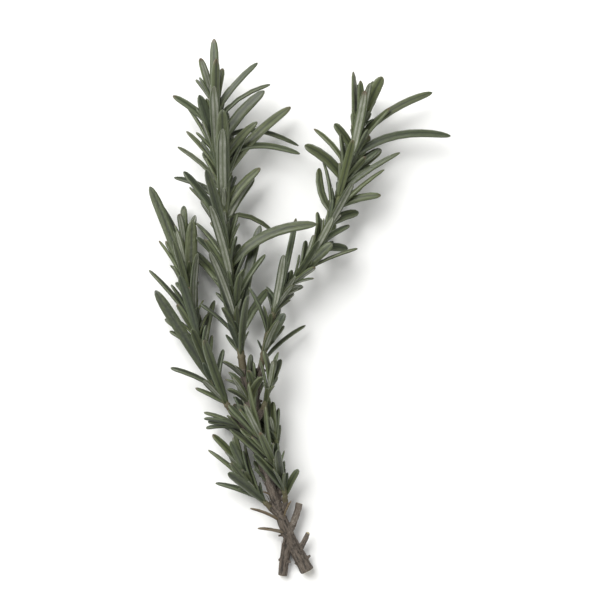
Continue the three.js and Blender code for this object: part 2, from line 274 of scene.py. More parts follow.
@dataclass(frozen=True)
class LeafRule:
    """How leaves grow on every stem, and what keeps them apart. Millimetres and degrees."""

    length: float = 24.0
    width: float = 2.9
    slimmest: float = 0.5
    width_jitter: float = 0.12
    thickness: float = 0.9
    thinnest: float = 0.55
    thickening: float = 0.45
    small_width: float = 0.36
    small_widening: float = 0.9
    quarter_turn: float = 90.0
    pair_jitter: float = 18.0
    length_jitter: float = 0.3
    length_bias: float = 0.3
    twist: float = 24.0
    axil_share: float = 0.5
    axil_shortest: float = 0.75
    axil_spread: float = 0.5
    axil_swing: float = 36.0
    axil_step: float = 0.06
    axil_angle_share: float = 0.9
    crown_turn: float = 137.5
    crown_shortest: float = 0.35
    crown_spread: float = 0.35
    crown_below_tip: float = 0.1
    crown_angle: float = 10.0
    crown_opening: float = 3.0
    lean: float = 0.5
    upper_side_up: float = 0.2
    measured_upper_side_up: float = 0.65
    lying_height: float = 0.15
    turns_tried: tuple[float, ...] = (0, 13, -13, 26, -26, 39, -39)
    own_leaf_gap: float = 1.3
    other_shoot_gap: float = 3.1
    own_stem_gap: float = 0.5
    other_stem_gap: float = 1.9
    samples: int = 14
    length_marks: int = 6
    root_share: float = 0.4
    stem_sample_stations: float = 0.15


RULE = LeafRule()


@dataclass(frozen=True)
class LeafPlan:
    """One leaf: its midrib as three points, its width, and which way its upper side faces."""

    base: Place
    control: Place
    tip: Place
    width: float
    roll: float
    upper: Place
    lies: bool
    height_on_shoot: float

    @staticmethod
    def grow(
        base: Place,
        tip: Place,
        forward: Place,
        width: float,
        facing: float,
        roll: float = 0.0,
        lean: float = RULE.lean,
        height_on_shoot: float = 0.0,
    ) -> "LeafPlan":
        """Plans a leaf that leaves the stem forwards and bends out to its tip.

        Args:
            base: where the leaf leaves the stem's middle line.
            tip: the end of the leaf.
            forward: the stem's direction there.
            width: the blade's greatest width.
            facing: how far the upper side turns from the stem's tip (0) to the sky (1).
            roll: a turn of the blade about its midrib, in degrees.
            lean: how far the leaf starts along the stem before it bends out.
            height_on_shoot: where the leaf sits, from the shoot's base (0) to its tip (1).

        Returns:
            The leaf's plan.
        """
        chord = tip - base
        leave = (chord.unit() + forward * lean).unit()
        control = base + leave * (chord.length() / 2)
        lies = tip.z <= RULE.lying_height
        height = RULE.lying_height if lies else max(control.z, RULE.lying_height)
        up = 1.0 if lies else facing
        return LeafPlan(
            base=base,
            control=Place(control.x, control.y, height),
            tip=tip,
            width=width,
            roll=0.0 if lies else roll,
            upper=forward * (1 - up) + UP * up,
            lies=lies,
            height_on_shoot=height_on_shoot,
        )

    def point_at(self, share: float) -> Place:
        """Finds a place on the midrib.

        Args:
            share: how far from the root (0) to the tip (1).

        Returns:
            The place, in millimetres.
        """
        rest = 1 - share
        return (
            self.base * (rest * rest)
            + self.control * (2 * rest * share)
            + self.tip * (share * share)
        )

    def direction_at(self, share: float) -> Place:
        """The midrib's direction at a share of its length."""
        rest = 1 - share
        return ((self.control - self.base) * rest + (self.tip - self.control) * share).unit()

    def length(self) -> float:
        """Adds up the length of the midrib.

        Returns:
            The length, in millimetres.
        """
        steps = RULE.length_marks
        marks = [self.point_at(i / steps) for i in range(steps + 1)]
        return sum((b - a).length() for a, b in zip(marks, marks[1:]))

    def samples(self) -> list[Place]:
        """Points spread evenly along the midrib, from the root to the tip."""
        return [self.point_at((i + 1) / RULE.samples) for i in range(RULE.samples)]


@dataclass(frozen=True)
class Mark:
    """A point of a leaf or a stem that is already placed."""

    node: str
    point: Place
    is_stem: bool
    is_free: bool
    radius: float = 0.0


class Room:
    """Everything placed so far, sorted into cells, to keep leaves apart."""

    CELL = 4.0

    def __init__(self) -> None:
        """Starts with an empty table."""
        self.cells: dict[tuple[int, int, int], list[Mark]] = {}

    def _cell(self, point: Place) -> tuple[int, int, int]:
        """The cell that a point is in."""
        return tuple(int(math.floor(value / self.CELL)) for value in (point.x, point.y, point.z))

    def _near(self, point: Place) -> Iterator[Mark]:
        """Goes through all marks in the cells around a point.

        Args:
            point: the point.

        Returns:
            The marks, one by one.
        """
        i, j, k = self._cell(point)
        for di in (-1, 0, 1):
            for dj in (-1, 0, 1):
                for dk in (-1, 0, 1):
                    yield from self.cells.get((i + di, j + dj, k + dk), ())

    def add_stem(self, node: str, line: StemLine) -> None:
        """Marks a stem along its whole length.

        Args:
            node: the solid that the stem belongs to.
            line: the stem's middle line.
        """
        station = 0.0
        while station <= line.spans:
            point = line.point_at(station)
            mark = Mark(node, point, True, False, line.radius_at(station))
            self.cells.setdefault(self._cell(point), []).append(mark)
            station += RULE.stem_sample_stations

    def add_leaf(self, node: str, leaf: LeafPlan) -> None:
        """Marks a leaf along its midrib.

        Args:
            node: the solid that the leaf belongs to.
            leaf: the leaf's plan.
        """
        for i, point in enumerate(leaf.samples()):
            is_free = (i + 1) / RULE.samples > RULE.root_share
            mark = Mark(node, point, False, is_free)
            self.cells.setdefault(self._cell(point), []).append(mark)

    def is_clear(self, node: str, leaf: LeafPlan, ease: float = 1.0) -> bool:
        """Tells whether a leaf passes clear of all that is there.

        Args:
            node: the shoot that the leaf belongs to.
            leaf: the leaf's plan.
            ease: a share of the usual gaps that is enough for this leaf.

        Returns:
            True if nothing is in the leaf's way.
        """
        for i, sample in enumerate(leaf.samples()):
            is_free = (i + 1) / RULE.samples > RULE.root_share
            for mark in self._near(sample):
                own = mark.node == node
                if mark.is_stem:
                    if own and not is_free:
                        continue
                    gap = mark.radius + (RULE.own_stem_gap if own else RULE.other_stem_gap)
                elif not own:
                    gap = RULE.other_shoot_gap
                elif is_free and mark.is_free:
                    gap = RULE.own_leaf_gap
                else:
                    continue
                if not (sample - mark.point).length() > gap * ease:
                    return False
        return True


@dataclass(frozen=True)
class MeasuredLeaf:
    """A leaf seen from above: its station on the stem, its tip and its width."""

    station: float
    tip: Triple
    width: float
    roll: float = 0.0
    lean: float = RULE.lean


@dataclass(frozen=True)
class PairRule:
    """Opposite pairs up a stem, and the small leaves crowded at its tip."""

    first: float
    last: float
    pairs: int
    leaf_length: float
    wide_angle: float
    narrow_angle: float
    crown: int

    def share_at(self, pair: int) -> float:
        """How far up the row a pair stands, from 0 to 1."""
        return pair / (self.pairs - 1)

    def station_at(self, pair: int) -> float:
        """The station on the stem that a pair leaves it at."""
        return self.first + (self.last - self.first) * self.share_at(pair)

    def angle_at(self, pair: int) -> float:
        """The angle between a pair's leaves and the stem, in degrees."""
        return self.wide_angle + (self.narrow_angle - self.wide_angle) * self.share_at(pair)


@dataclass(frozen=True)
class YoungLeafRule:
    """Small young leaves in the axils, their lengths as shares of a full-grown leaf's."""

    per_pair: int = 9
    shortest: float = 0.22
    length_spread: float = 0.3
    least_angle: float = 14.0
    angle_spread: float = 24.0
    station_spread: float = 0.1
    twist: float = 30.0
    ease: float = 0.72


@dataclass(frozen=True)
class TuftRule:
    """Tufts of small leaves on bare wood, spaced evenly in stations."""

    first: float
    spacing: float
    leaves: int = 16
    leaf_length: float = 13.0
    shortest: float = 0.45
    length_spread: float = 0.7
    side_swing: float = 50.0
    least_angle: float = 14.0
    angle_spread: float = 42.0
    twist: float = 30.0
    ease: float = 0.62


@dataclass
class ShootPlan:
    """A leafy shoot: measured leaves, and pairs set by rule in the room left.

    The leaves whose places are left out would reach over bare ground in the picture.
    """

    node: str
    line: StemLine
    seed: int
    measured: tuple[MeasuredLeaf, ...]
    rule: PairRule
    left_out: tuple[int, ...] = ()
    leaves: list[LeafPlan] = field(default_factory=list)

    def __post_init__(self) -> None:
        """Starts the shoot's own draws."""
        self.draws = Draws(self.seed)

    def place_measured(self, room: Room) -> None:
        """Places the leaves that were measured one by one.

        Args:
            room: everything placed so far.
        """
        for leaf in self.measured:
            plan = LeafPlan.grow(
                self.line.point_at(leaf.station),
                Place(*leaf.tip),
                self.line.direction_at(leaf.station),
                leaf.width,
                RULE.measured_upper_side_up,
                leaf.roll,
                leaf.lean,
                leaf.station / self.line.spans,
            )
            self.leaves.append(plan)
            room.add_leaf(self.node, plan)

    def leaf_at(
        self, station: float, turn: float, angle: float, length: float, width: float, twist: float
    ) -> LeafPlan:
        """Plans a leaf that leaves the stem at an angle to it.

        Args:
            station: where it leaves the stem.
            turn: the place round the stem, in degrees: 0 right, 90 above.
            angle: the angle between leaf and stem, in degrees.
            length: the leaf's length.
            width: the leaf's width.
            twist: the roll of the blade, in degrees.

        Returns:
            The leaf's plan, kept above the table.
        """
        base = self.line.point_at(station)
        forward = self.line.direction_at(station)
        axes = Axes.of(forward, UP)
        place, slant = math.radians(turn), math.radians(angle)
        direction = (
            axes.across * (math.cos(place) * math.sin(slant))
            + axes.out * (math.sin(place) * math.sin(slant))
            + forward * math.cos(slant)
        )
        tip = self._above_table(base, direction, length)
        return LeafPlan.grow(
            base,
            tip,
            forward,
            width,
            RULE.upper_side_up,
            twist,
            height_on_shoot=station / self.line.spans,
        )

    @staticmethod
    def _above_table(base: Place, direction: Place, length: float) -> Place:
        """Finds the tip of a leaf, laid on the table if it would pass below it.

        Args:
            base: where the leaf leaves the stem.
            direction: where it points.
            length: the leaf's length.

        Returns:
            The tip.
        """
        tip = base + direction * length
        if tip.z > RULE.lying_height:
            return tip
        drop = base.z - RULE.lying_height
        level = Place(direction.x, direction.y, 0).unit()
        reach = math.sqrt(max(0.0, length * length - drop * drop))
        flat = base + level * reach
        return Place(flat.x, flat.y, RULE.lying_height)

    def _place_in_room(
        self, room: Room, station: float, turn: float, angle: float, length: float
    ) -> None:
        """Adds a leaf by rule, turned round the stem until it is clear, or leaves it out.

        Args:
            room: everything placed so far.
            station: where the leaf leaves the stem.
            turn: the place round the stem that is tried first, in degrees.
            angle: the angle between leaf and stem, in degrees.
            length: the leaf's length.
        """
        twist = RULE.twist * self.draws.swing()
        slimness = RULE.slimmest + (1 - RULE.slimmest) * length / RULE.length
        width = RULE.width * slimness * (1 + RULE.width_jitter * self.draws.swing())
        for extra in RULE.turns_tried:
            leaf = self.leaf_at(station, turn + extra, angle, length, width, twist)
            if room.is_clear(self.node, leaf):
                self.leaves.append(leaf)
                room.add_leaf(self.node, leaf)
                return

    def place_by_rule(self, room: Room) -> None:
        """Places opposite pairs with a smaller leaf in each axil, then the crown of the tip.

        Args:
            room: everything placed so far.
        """
        rule = self.rule
        for pair in range(rule.pairs):
            station = rule.station_at(pair)
            angle = rule.angle_at(pair)
            for side in (0, 180):
                jitter = RULE.pair_jitter * self.draws.swing()
                turn = side + RULE.quarter_turn * (pair + 1) + jitter
                change = RULE.length_jitter * (self.draws.swing() - RULE.length_bias)
                length = rule.leaf_length * (1 + change)
                self._place_in_room(room, station, turn, angle, length)
                swing = RULE.axil_swing if self.draws.next() < 0.5 else -RULE.axil_swing
                share = RULE.axil_shortest + RULE.axil_spread * self.draws.next()
                small = length * RULE.axil_share * share
                above = station + RULE.axil_step
                closer = angle * RULE.axil_angle_share
                self._place_in_room(room, above, turn + swing, closer, small)
        for k in range(rule.crown):
            share = RULE.crown_shortest + RULE.crown_spread * self.draws.next()
            station = self.line.spans - RULE.crown_below_tip
            angle = RULE.crown_angle + RULE.crown_opening * k
            self._place_in_room(
                room, station, RULE.crown_turn * k, angle, rule.leaf_length * share
            )

    def leave_out(self) -> None:
        """Leaves out those leaves by rule that would reach over bare ground."""
        self.leaves = [
            leaf for place, leaf in enumerate(self.leaves) if place not in self.left_out
        ]

    def place_tufts(self, room: Room, tufts: TuftRule) -> None:
        """Sets tufts of small leaves on bare wood, which the solid leaves out.

        Args:
            room: everything placed so far.
            tufts: where they are and how large.
        """
        draws = Draws(self.seed + TUFT_DRAWS)
        station = tufts.first
        turn = 0.0
        while station < self.line.spans:
            for k in range(tufts.leaves):
                side = 180 * (k % 2) + turn + tufts.side_swing * draws.swing()
                share = tufts.shortest + tufts.length_spread * draws.next()
                length = tufts.leaf_length * share
                angle = tufts.least_angle + tufts.angle_spread * draws.next()
                twist = tufts.twist * draws.swing()
                self._add_small_leaf(room, station, side, angle, length, twist, tufts.ease)
            station += tufts.spacing
            turn += RULE.quarter_turn

    def _add_small_leaf(
        self,
        room: Room,
        station: float,
        turn: float,
        angle: float,
        length: float,
        twist: float,
        ease: float,
    ) -> None:
        """Adds a small leaf that the solid leaves out, if it is clear and off the table.

        Args:
            room: everything placed so far.
            station: where the leaf leaves the stem.
            turn: its place round the stem, in degrees.
            angle: the angle between leaf and stem, in degrees.
            length: the leaf's length.
            twist: the roll of the blade, in degrees.
            ease: a share of the usual gaps that is enough for this leaf.
        """
        width = RULE.width * (RULE.small_width + RULE.small_widening * length / RULE.length)
        leaf = self.leaf_at(station, turn, angle, length, width, twist)
        if not leaf.lies and room.is_clear(self.node, leaf, ease):
            self.leaves.append(leaf)
            room.add_leaf(self.node, leaf)

    def place_young_leaves(self, room: Room, young: YoungLeafRule) -> None:
        """Tucks small young leaves into the axils, where the solid has none.

        Args:
            room: everything placed so far.
            young: how many there are and how large.
        """
        draws = Draws(self.seed + YOUNG_LEAF_DRAWS)
        for pair in range(self.rule.pairs):
            for _ in range(young.per_pair):
                share = young.shortest + young.length_spread * draws.next()
                length = self.rule.leaf_length * share
                turn = 360 * draws.next()
                angle = young.least_angle + young.angle_spread * draws.next()
                station = self.rule.station_at(pair) + young.station_spread * draws.next()
                twist = young.twist * draws.swing()
                self._add_small_leaf(room, station, turn, angle, length, twist, young.ease)


# The stems and measured leaves of this sprig, in millimetres.

CUT_END_RADIUS = 2.1
FORK_RADIUS = 1.35
BRANCH_RADIUS = 1.2
GREEN_BRANCH_RADIUS = 1.05
SPUR_RADIUS = 0.9
TIP_RADIUS = 0.6

TRUNK = StemLine(
    (
        (2.2, -80.8, 1.9),
        (-4.2, -68.5, 3),
        (-8.4, -56.7, 4.8),
        (-12.2, -44.5, 6.8),
        (-14.7, -33.2, 8.2),
        (-17.2, -20.6, 9.5),
    ),
    CUT_END_RADIUS,
    FORK_RADIUS,
)
RIGHT_BRANCH = StemLine(
    ((-13.7, -38, 7.6), (-13.2, -29, 8.6), (-11.8, -19.7, 9.6)),
    BRANCH_RADIUS,
    GREEN_BRANCH_RADIUS,
)
LEFT_BRANCH = StemLine(
    ((-11, -48.5, 6.2), (-14.8, -42, 6.9), (-19.7, -34.9, 7.5)),
    BRANCH_RADIUS,
    GREEN_BRANCH_RADIUS,
)
SPUR_FEET = tuple(
    StemLine(points, 1.1, SPUR_RADIUS)
    for points in (
        ((-6.1, -63.4, 3.8), (-4.8, -62, 4.6), (-4.4, -60, 5.5)),
        ((-5.6, -64.6, 3.7), (-7.4, -63.4, 4.2), (-9.2, -61.8, 4.6)),
        ((-14, -36.5, 7.8), (-12.2, -34.6, 8.9), (-11.2, -32.6, 9.6)),
        ((-9.6, -53, 5.4), (-8.2, -51.4, 6), (-7.3, -49.6, 6.4)),
    )
)
DRIED_TWIGS = (
    StemLine(((-7.2, -60, 4.3), (-5.4, -54.5, 4.6), (-5.6, -48.2, 4)), 1.05, 0.8),
    StemLine(((-3.6, -69.6, 2.9), (-1.6, -65.4, 3.4), (-0.3, -60.6, 3.2)), 1, 1.15),
    StemLine(((-0.6, -75.4, 2.3), (1, -72.6, 3.2), (2.4, -69.4, 4.4)), 0.9, 0.65),
    StemLine(((-3.4, -70, 2.8), (-4.4, -75, 2), (-5.4, -82.2, 1.3)), 1.5, 1.35),
)

MAIN_SHOOT = ShootPlan(
    "main_shoot",
    StemLine(
        (
            (-17.2, -20.6, 9.5),
            (-19.3, -5.9, 10.4),
            (-21, 8.8, 10.4),
            (-23.1, 25.6, 9.8),
            (-24.8, 41.6, 9),
            (-26, 55, 8.8),
            (-26.9, 64.7, 9.2),
        ),
        FORK_RADIUS,
        TIP_RADIUS,
    ),
    12,
    (
        MeasuredLeaf(5.55, (-26.7, 82, 12), 3.3),
        MeasuredLeaf(5.4, (-31.1, 76.4, 10), 2.8, 150),
        MeasuredLeaf(5.35, (-13.2, 75.2, 9), 2.1),
        MeasuredLeaf(4.85, (-39.5, 64.3, 10), 2.5),
        MeasuredLeaf(5, (-9.2, 67.6, 11), 2.3, 30, 1),
        MeasuredLeaf(4.45, (-10.9, 64.7, 14), 4.2),
        MeasuredLeaf(4, (-13, 54.6, 15), 3.4),
        MeasuredLeaf(3.7, (-2.9, 61.3, 8), 3.4),
        MeasuredLeaf(4.5, (-0.4, 49.6, 5), 1.7, 0, 1.2),
        MeasuredLeaf(4.1, (0, 45.8, 10), 2.4, 0, 1),
        MeasuredLeaf(3, (-23.5, 57.5, 19), 4.2, 0, 0.6),
        MeasuredLeaf(3.85, (-31, 63.4, 14), 3.4),
        MeasuredLeaf(3.9, (-35.3, 53.3, 9), 1.5),
        MeasuredLeaf(3.6, (-38.2, 49.1, 6), 1.5),
        MeasuredLeaf(3.2, (-39.1, 39.1, 7), 2.1, 0, 1.3),
        MeasuredLeaf(2.7, (-35.7, 39.9, 12), 3.3, -35),
        MeasuredLeaf(3.1, (-12.2, 41.2, 11), 3.1),
        MeasuredLeaf(2.9, (-14.3, 39.1, 7), 3.1, 160),
        MeasuredLeaf(3, (-8.4, 22.3, 6), 1.8, 0, 0.8),
        MeasuredLeaf(2.1, (5, 22.6, 16), 3.8, 0, 0.9),
        MeasuredLeaf(0.7, (-12.2, 23.9, 8), 3.2),
        MeasuredLeaf(0.1, (-25.2, 8.8, 13), 2.1),
        MeasuredLeaf(1.9, (-31.5, 19.3, 13), 2),
    ),
    PairRule(
        first=0.25, last=5.6, pairs=16, leaf_length=RULE.length,
        wide_angle=42, narrow_angle=20, crown=6,
    ),
    (44, 50, 58, 66, 74, 75, 76, 78, 80, 82, 83),
)

RIGHT_SHOOT = ShootPlan(
    "right_shoot",
    StemLine(
        (
            (-11.8, -19.7, 9.6),
            (-9.7, -9.7, 10.3),
            (-6.7, -0.4, 10.4),
            (-1.7, 6.3, 10.2),
            (3.4, 13.9, 9.8),
            (7.6, 21.4, 9.2),
            (10.9, 29.8, 8.8),
            (13.9, 38.2, 8.6),
            (16.8, 47.5, 8.8),
            (18.9, 55.9, 9.4),
        ),
        GREEN_BRANCH_RADIUS,
        TIP_RADIUS,
    ),
    23,
    (
        MeasuredLeaf(8, (16.4, 71.8, 11), 3.3, 140),
        MeasuredLeaf(8.6, (18.5, 68, 14), 2.6),
        MeasuredLeaf(8.9, (25.2, 68.9, 15), 3.6),
        MeasuredLeaf(8.9, (22.7, 69.3, 9), 2.6),
        MeasuredLeaf(8.3, (41.2, 65.9, 8), 2.6, 0, 0.8),
        MeasuredLeaf(7.7, (46.6, 51.7, 9), 3, 0, 1),
        MeasuredLeaf(7.9, (10.5, 55.4, 10), 2.8),
        MeasuredLeaf(7.3, (4.2, 54.6, 7), 1.9),
        MeasuredLeaf(6.9, (1.3, 48.3, 11), 3.9),
        MeasuredLeaf(5.7, (5.9, 42.4, 6), 2.4, 0, -0.4),
        MeasuredLeaf(6.8, (25.2, 48.3, 6), 3.5, 170),
        MeasuredLeaf(6.5, (30.7, 45.8, 12), 2),
        MeasuredLeaf(5.9, (24.8, 32.8, 10), 2.9),
        MeasuredLeaf(5.3, (18.1, 28.1, 7), 3.6),
        MeasuredLeaf(4.3, (14.7, 16.8, 6), 2.8),
        MeasuredLeaf(3.2, (9.7, 17.2, 14), 3.2),
        MeasuredLeaf(2.3, (0.8, 5.5, 4), 2.2, 180),
        MeasuredLeaf(1.9, (-10.5, 4.6, 10), 1.2),
        MeasuredLeaf(1.9, (-1.3, 26.9, 4), 1.9),
        MeasuredLeaf(0.4, (-4.6, -4.2, 14), 2.9),
        MeasuredLeaf(0.1, (1.7, -6.7, 5), 1.3),
    ),
    PairRule(
        first=0.35, last=8.6, pairs=15, leaf_length=RULE.length * 0.92,
        wide_angle=40, narrow_angle=24, crown=5,
    ),
    (26, 30, 31, 36, 43, 45, 60, 66),
)

LEFT_SHOOT = ShootPlan(
    "left_shoot",
    StemLine(
        (
            (-19.7, -34.9, 7.5),
            (-25.2, -26, 8),
            (-29.4, -16.4, 8),
            (-32.3, -5.9, 7.6),
            (-34, 4.6, 7.2),
            (-35.3, 14.3, 7),
            (-35.7, 21.4, 7),
        ),
        GREEN_BRANCH_RADIUS,
        TIP_RADIUS,
    ),
    38,
    (
        MeasuredLeaf(5.4, (-35.7, 29, 8), 1.9),
        MeasuredLeaf(4.9, (-32.3, 27.3, 7), 2.5, 150),
        MeasuredLeaf(2.9, (-32.8, 24.8, 12), 3.8),
        MeasuredLeaf(4, (-46.4, 36.1, 8), 3.2),
        MeasuredLeaf(1, (-44.1, 3.4, 10), 3.4),
        MeasuredLeaf(2.2, (-41.6, -4.6, 4), 2),
        MeasuredLeaf(4.4, (-41.5, 19.3, 6), 2),
    ),
    PairRule(
        first=0.4, last=5.5, pairs=11, leaf_length=RULE.length * 0.85,
        wide_angle=38, narrow_angle=18, crown=4,
    ),
    (40, 41),
)


def spur(
    node: str,
    seed: int,
    points: tuple[Triple, ...],
    pairs: int,
    leaf_share: float,
    measured: tuple[MeasuredLeaf, ...] = (),
    left_out: tuple[int, ...] = (),
) -> ShootPlan:
    """Plans a short leafy spur on the lower wood.

    Args:
        node: the solid that it stands for.
        seed: where its draws start.
        points: the points of its stem.
        pairs: how many pairs of leaves it tries.
        leaf_share: its leaves' length, as a share of a full-grown leaf's.
        measured: leaves placed one by one.
        left_out: the places of leaves that would reach over bare ground.

    Returns:
        The spur's plan.
    """
    line = StemLine(points, SPUR_RADIUS, TIP_RADIUS)
    rule = PairRule(
        first=0.25,
        last=line.spans - 0.15,
        pairs=pairs,
        leaf_length=RULE.length * leaf_share,
        wide_angle=32,
        narrow_angle=15,
        crown=4,
    )
    return ShootPlan(node, line, seed, measured, rule, left_out)


SPURS = (
    spur(
        "front_spur",
        41,
        ((-4.4, -60, 5.5), (-5.2, -55, 8), (-8, -48.5, 10.4), (-12, -41, 12)),
        8,
        0.8,
        left_out=(1, 2, 3, 5, 6),
    ),
    spur(
        "left_spur",
        43,
        ((-9.2, -61.8, 4.6), (-13.6, -57, 5.4), (-17, -50.5, 6)),
        6,
        0.75,
        (MeasuredLeaf(1, (-22, -45, RULE.lying_height), 2.7),),
    ),
    spur(
        "right_spur",
        47,
        ((-11.2, -32.6, 9.6), (-9.6, -27.6, 10.8), (-8.8, -22.5, 11.6)),
        5,
        0.6,
        left_out=(1, 2, 5),
    ),
    spur(
        "low_spur",
        53,
        ((-7.3, -49.6, 6.4), (-6.9, -44.5, 7), (-7.9, -39.5, 7.4)),
        5,
        0.62,
    ),
)

SHOOTS = (MAIN_SHOOT, RIGHT_SHOOT, LEFT_SHOOT, *SPURS)
WOOD = (TRUNK, RIGHT_BRANCH, LEFT_BRANCH, *SPUR_FEET, *DRIED_TWIGS)
NO_PAIRS = PairRule(0, 0, 0, 0, 0, 0, 0)
TUFTED = (
    (ShootPlan("woody_stem", TRUNK, 61, (), NO_PAIRS), TuftRule(0.85, 0.3)),
    (ShootPlan("woody_stem", RIGHT_BRANCH, 67, (), NO_PAIRS), TuftRule(0.5, 0.4)),
    (ShootPlan("woody_stem", LEFT_BRANCH, 71, (), NO_PAIRS), TuftRule(0.6, 0.45)),
)


def plan_leaves() -> None:
    """Places every leaf: measured ones first, then by rule, then the young ones."""
    room = Room()
    for line in WOOD:
        room.add_stem("woody_stem", line)
    for shoot in SHOOTS:
        room.add_stem(shoot.node, shoot.line)
    for shoot in SHOOTS:
        shoot.place_measured(room)
    for shoot in SHOOTS:
        shoot.place_by_rule(room)
    for shoot in SHOOTS:
        shoot.leave_out()
        shoot.place_young_leaves(room, YoungLeafRule())
    for wood, tufts in TUFTED:
        wood.place_tufts(room, tufts)


# Shading.


@dataclass(frozen=True)
class Tint:
    """A colour as it looks on screen, each channel from 0 to 255."""

    red: int
    green: int
    blue: int

    def linear(self) -> tuple[float, float, float, float]:
        """Turns the colour into scene light.

        Returns:
            Its channels, with full alpha.
        """
        channels = [value / 255 for value in (self.red, self.green, self.blue)]
        light = [c / 12.92 if c <= 0.04045 else ((c + 0.055) / 1.055) ** 2.4 for c in channels]
        return (light[0], light[1], light[2], 1.0)


class Reading(Enum):
    """The attributes that the pieces carry for their finishes."""

    PLACE = "leaf_place"
    GRAIN = "grain"
    TONE = "tone"
    HUE = "hue"
    CUT = "cut"
    RIDGE = "ridge"


class Shading:
    """A material's node tree, with one short call for each kind of node."""

    MIXED_COLORS: ClassVar[tuple[int, int]] = (6, 7)
    MIX_RESULT: ClassVar[int] = 2

    def __init__(self, name: str) -> None:
        """Starts a material that has only its shader and its output.

        Args:
            name: the material's name.
        """
        self.material = bpy.data.materials.new(name)
        self.material.use_nodes = True
        self.tree = self.material.node_tree
        self.shader = self.tree.nodes["Principled BSDF"]

    def node(self, kind: str, **settings: object) -> bpy.types.Node:
        """Adds a node and sets its options.

        Args:
            kind: the node's type.
            settings: its options.

        Returns:
            The node.
        """
        made = self.tree.nodes.new(kind)
        for key, value in settings.items():
            setattr(made, key, value)
        return made

    def feed(self, socket: Socket, value: object) -> None:
        """Links a socket to another, or sets it to a value.

        Args:
            socket: the socket to feed.
            value: another node's output, a tint or a number.
        """
        if isinstance(value, Socket):
            self.tree.links.new(value, socket)
        elif isinstance(value, Tint):
            socket.default_value = value.linear()
        else:
            socket.default_value = value

    def reading(self, which: Reading) -> Socket:
        """Reads a number or a vector that the piece carries.

        Args:
            which: the attribute.

        Returns:
            Its output.
        """
        made = self.node("ShaderNodeAttribute", attribute_name=which.value)
        is_vector = which in (Reading.PLACE, Reading.GRAIN)
        return made.outputs["Vector" if is_vector else "Fac"]

    def parts(self, vector: Socket) -> list[Socket]:
        """Splits a vector.

        Args:
            vector: the vector.

        Returns:
            Its three numbers.
        """
        made = self.node("ShaderNodeSeparateXYZ")
        self.feed(made.inputs[0], vector)
        return list(made.outputs)

    def object_place(self) -> Socket:
        """The place in the object's own frame, in metres."""
        return self.node("ShaderNodeTexCoord").outputs["Object"]

    def math(self, operation: str, first: object, second: object = 0.0) -> Socket:
        """Works out a sum, a product or another function.

        Args:
            operation: the function.
            first: its first number.
            second: its second, if it takes two.

        Returns:
            The result.
        """
        made = self.node("ShaderNodeMath", operation=operation)
        self.feed(made.inputs[0], first)
        self.feed(made.inputs[1], second)
        return made.outputs[0]

    def ramp(self, value: object, low: float, high: float) -> Socket:
        """Makes a smooth rise from 0 to 1.

        Args:
            value: what drives it.
            low: where it starts.
            high: where it ends.

        Returns:
            The rise.
        """
        made = self.node("ShaderNodeMapRange", interpolation_type="SMOOTHSTEP")
        self.feed(made.inputs["Value"], value)
        self.feed(made.inputs["From Min"], low)
        self.feed(made.inputs["From Max"], high)
        return made.outputs["Result"]

    def noise(self, vector: object, scale: float, detail: float = 3.0) -> Socket:
        """Makes cloudy noise from 0 to 1.

        Args:
            vector: the place that it is read at.
            scale: how fine it is.
            detail: its finer layers.

        Returns:
            The noise.
        """
        made = self.node("ShaderNodeTexNoise")
        self.feed(made.inputs["Vector"], vector)
        self.feed(made.inputs["Scale"], scale)
        self.feed(made.inputs["Detail"], detail)
        return made.outputs["Fac"]

    def mix(self, share: object, first: object, second: object) -> Socket:
        """Mixes two colours.

        Args:
            share: how much of the second there is.
            first: one colour.
            second: the other.

        Returns:
            The colour between them.
        """
        made = self.node("ShaderNodeMix", data_type="RGBA")
        self.feed(made.inputs[0], share)
        self.feed(made.inputs[self.MIXED_COLORS[0]], first)
        self.feed(made.inputs[self.MIXED_COLORS[1]], second)
        return made.outputs[self.MIX_RESULT]

    def bump(self, height: object, strength: float, distance: float) -> Socket:
        """Turns a height into a surface normal.

        Args:
            height: the height.
            strength: how much of it shows.
            distance: its depth, in metres.

        Returns:
            The normal.
        """
        made = self.node("ShaderNodeBump")
        self.feed(made.inputs["Height"], height)
        self.feed(made.inputs["Strength"], strength)
        self.feed(made.inputs["Distance"], distance)
        return made.outputs["Normal"]


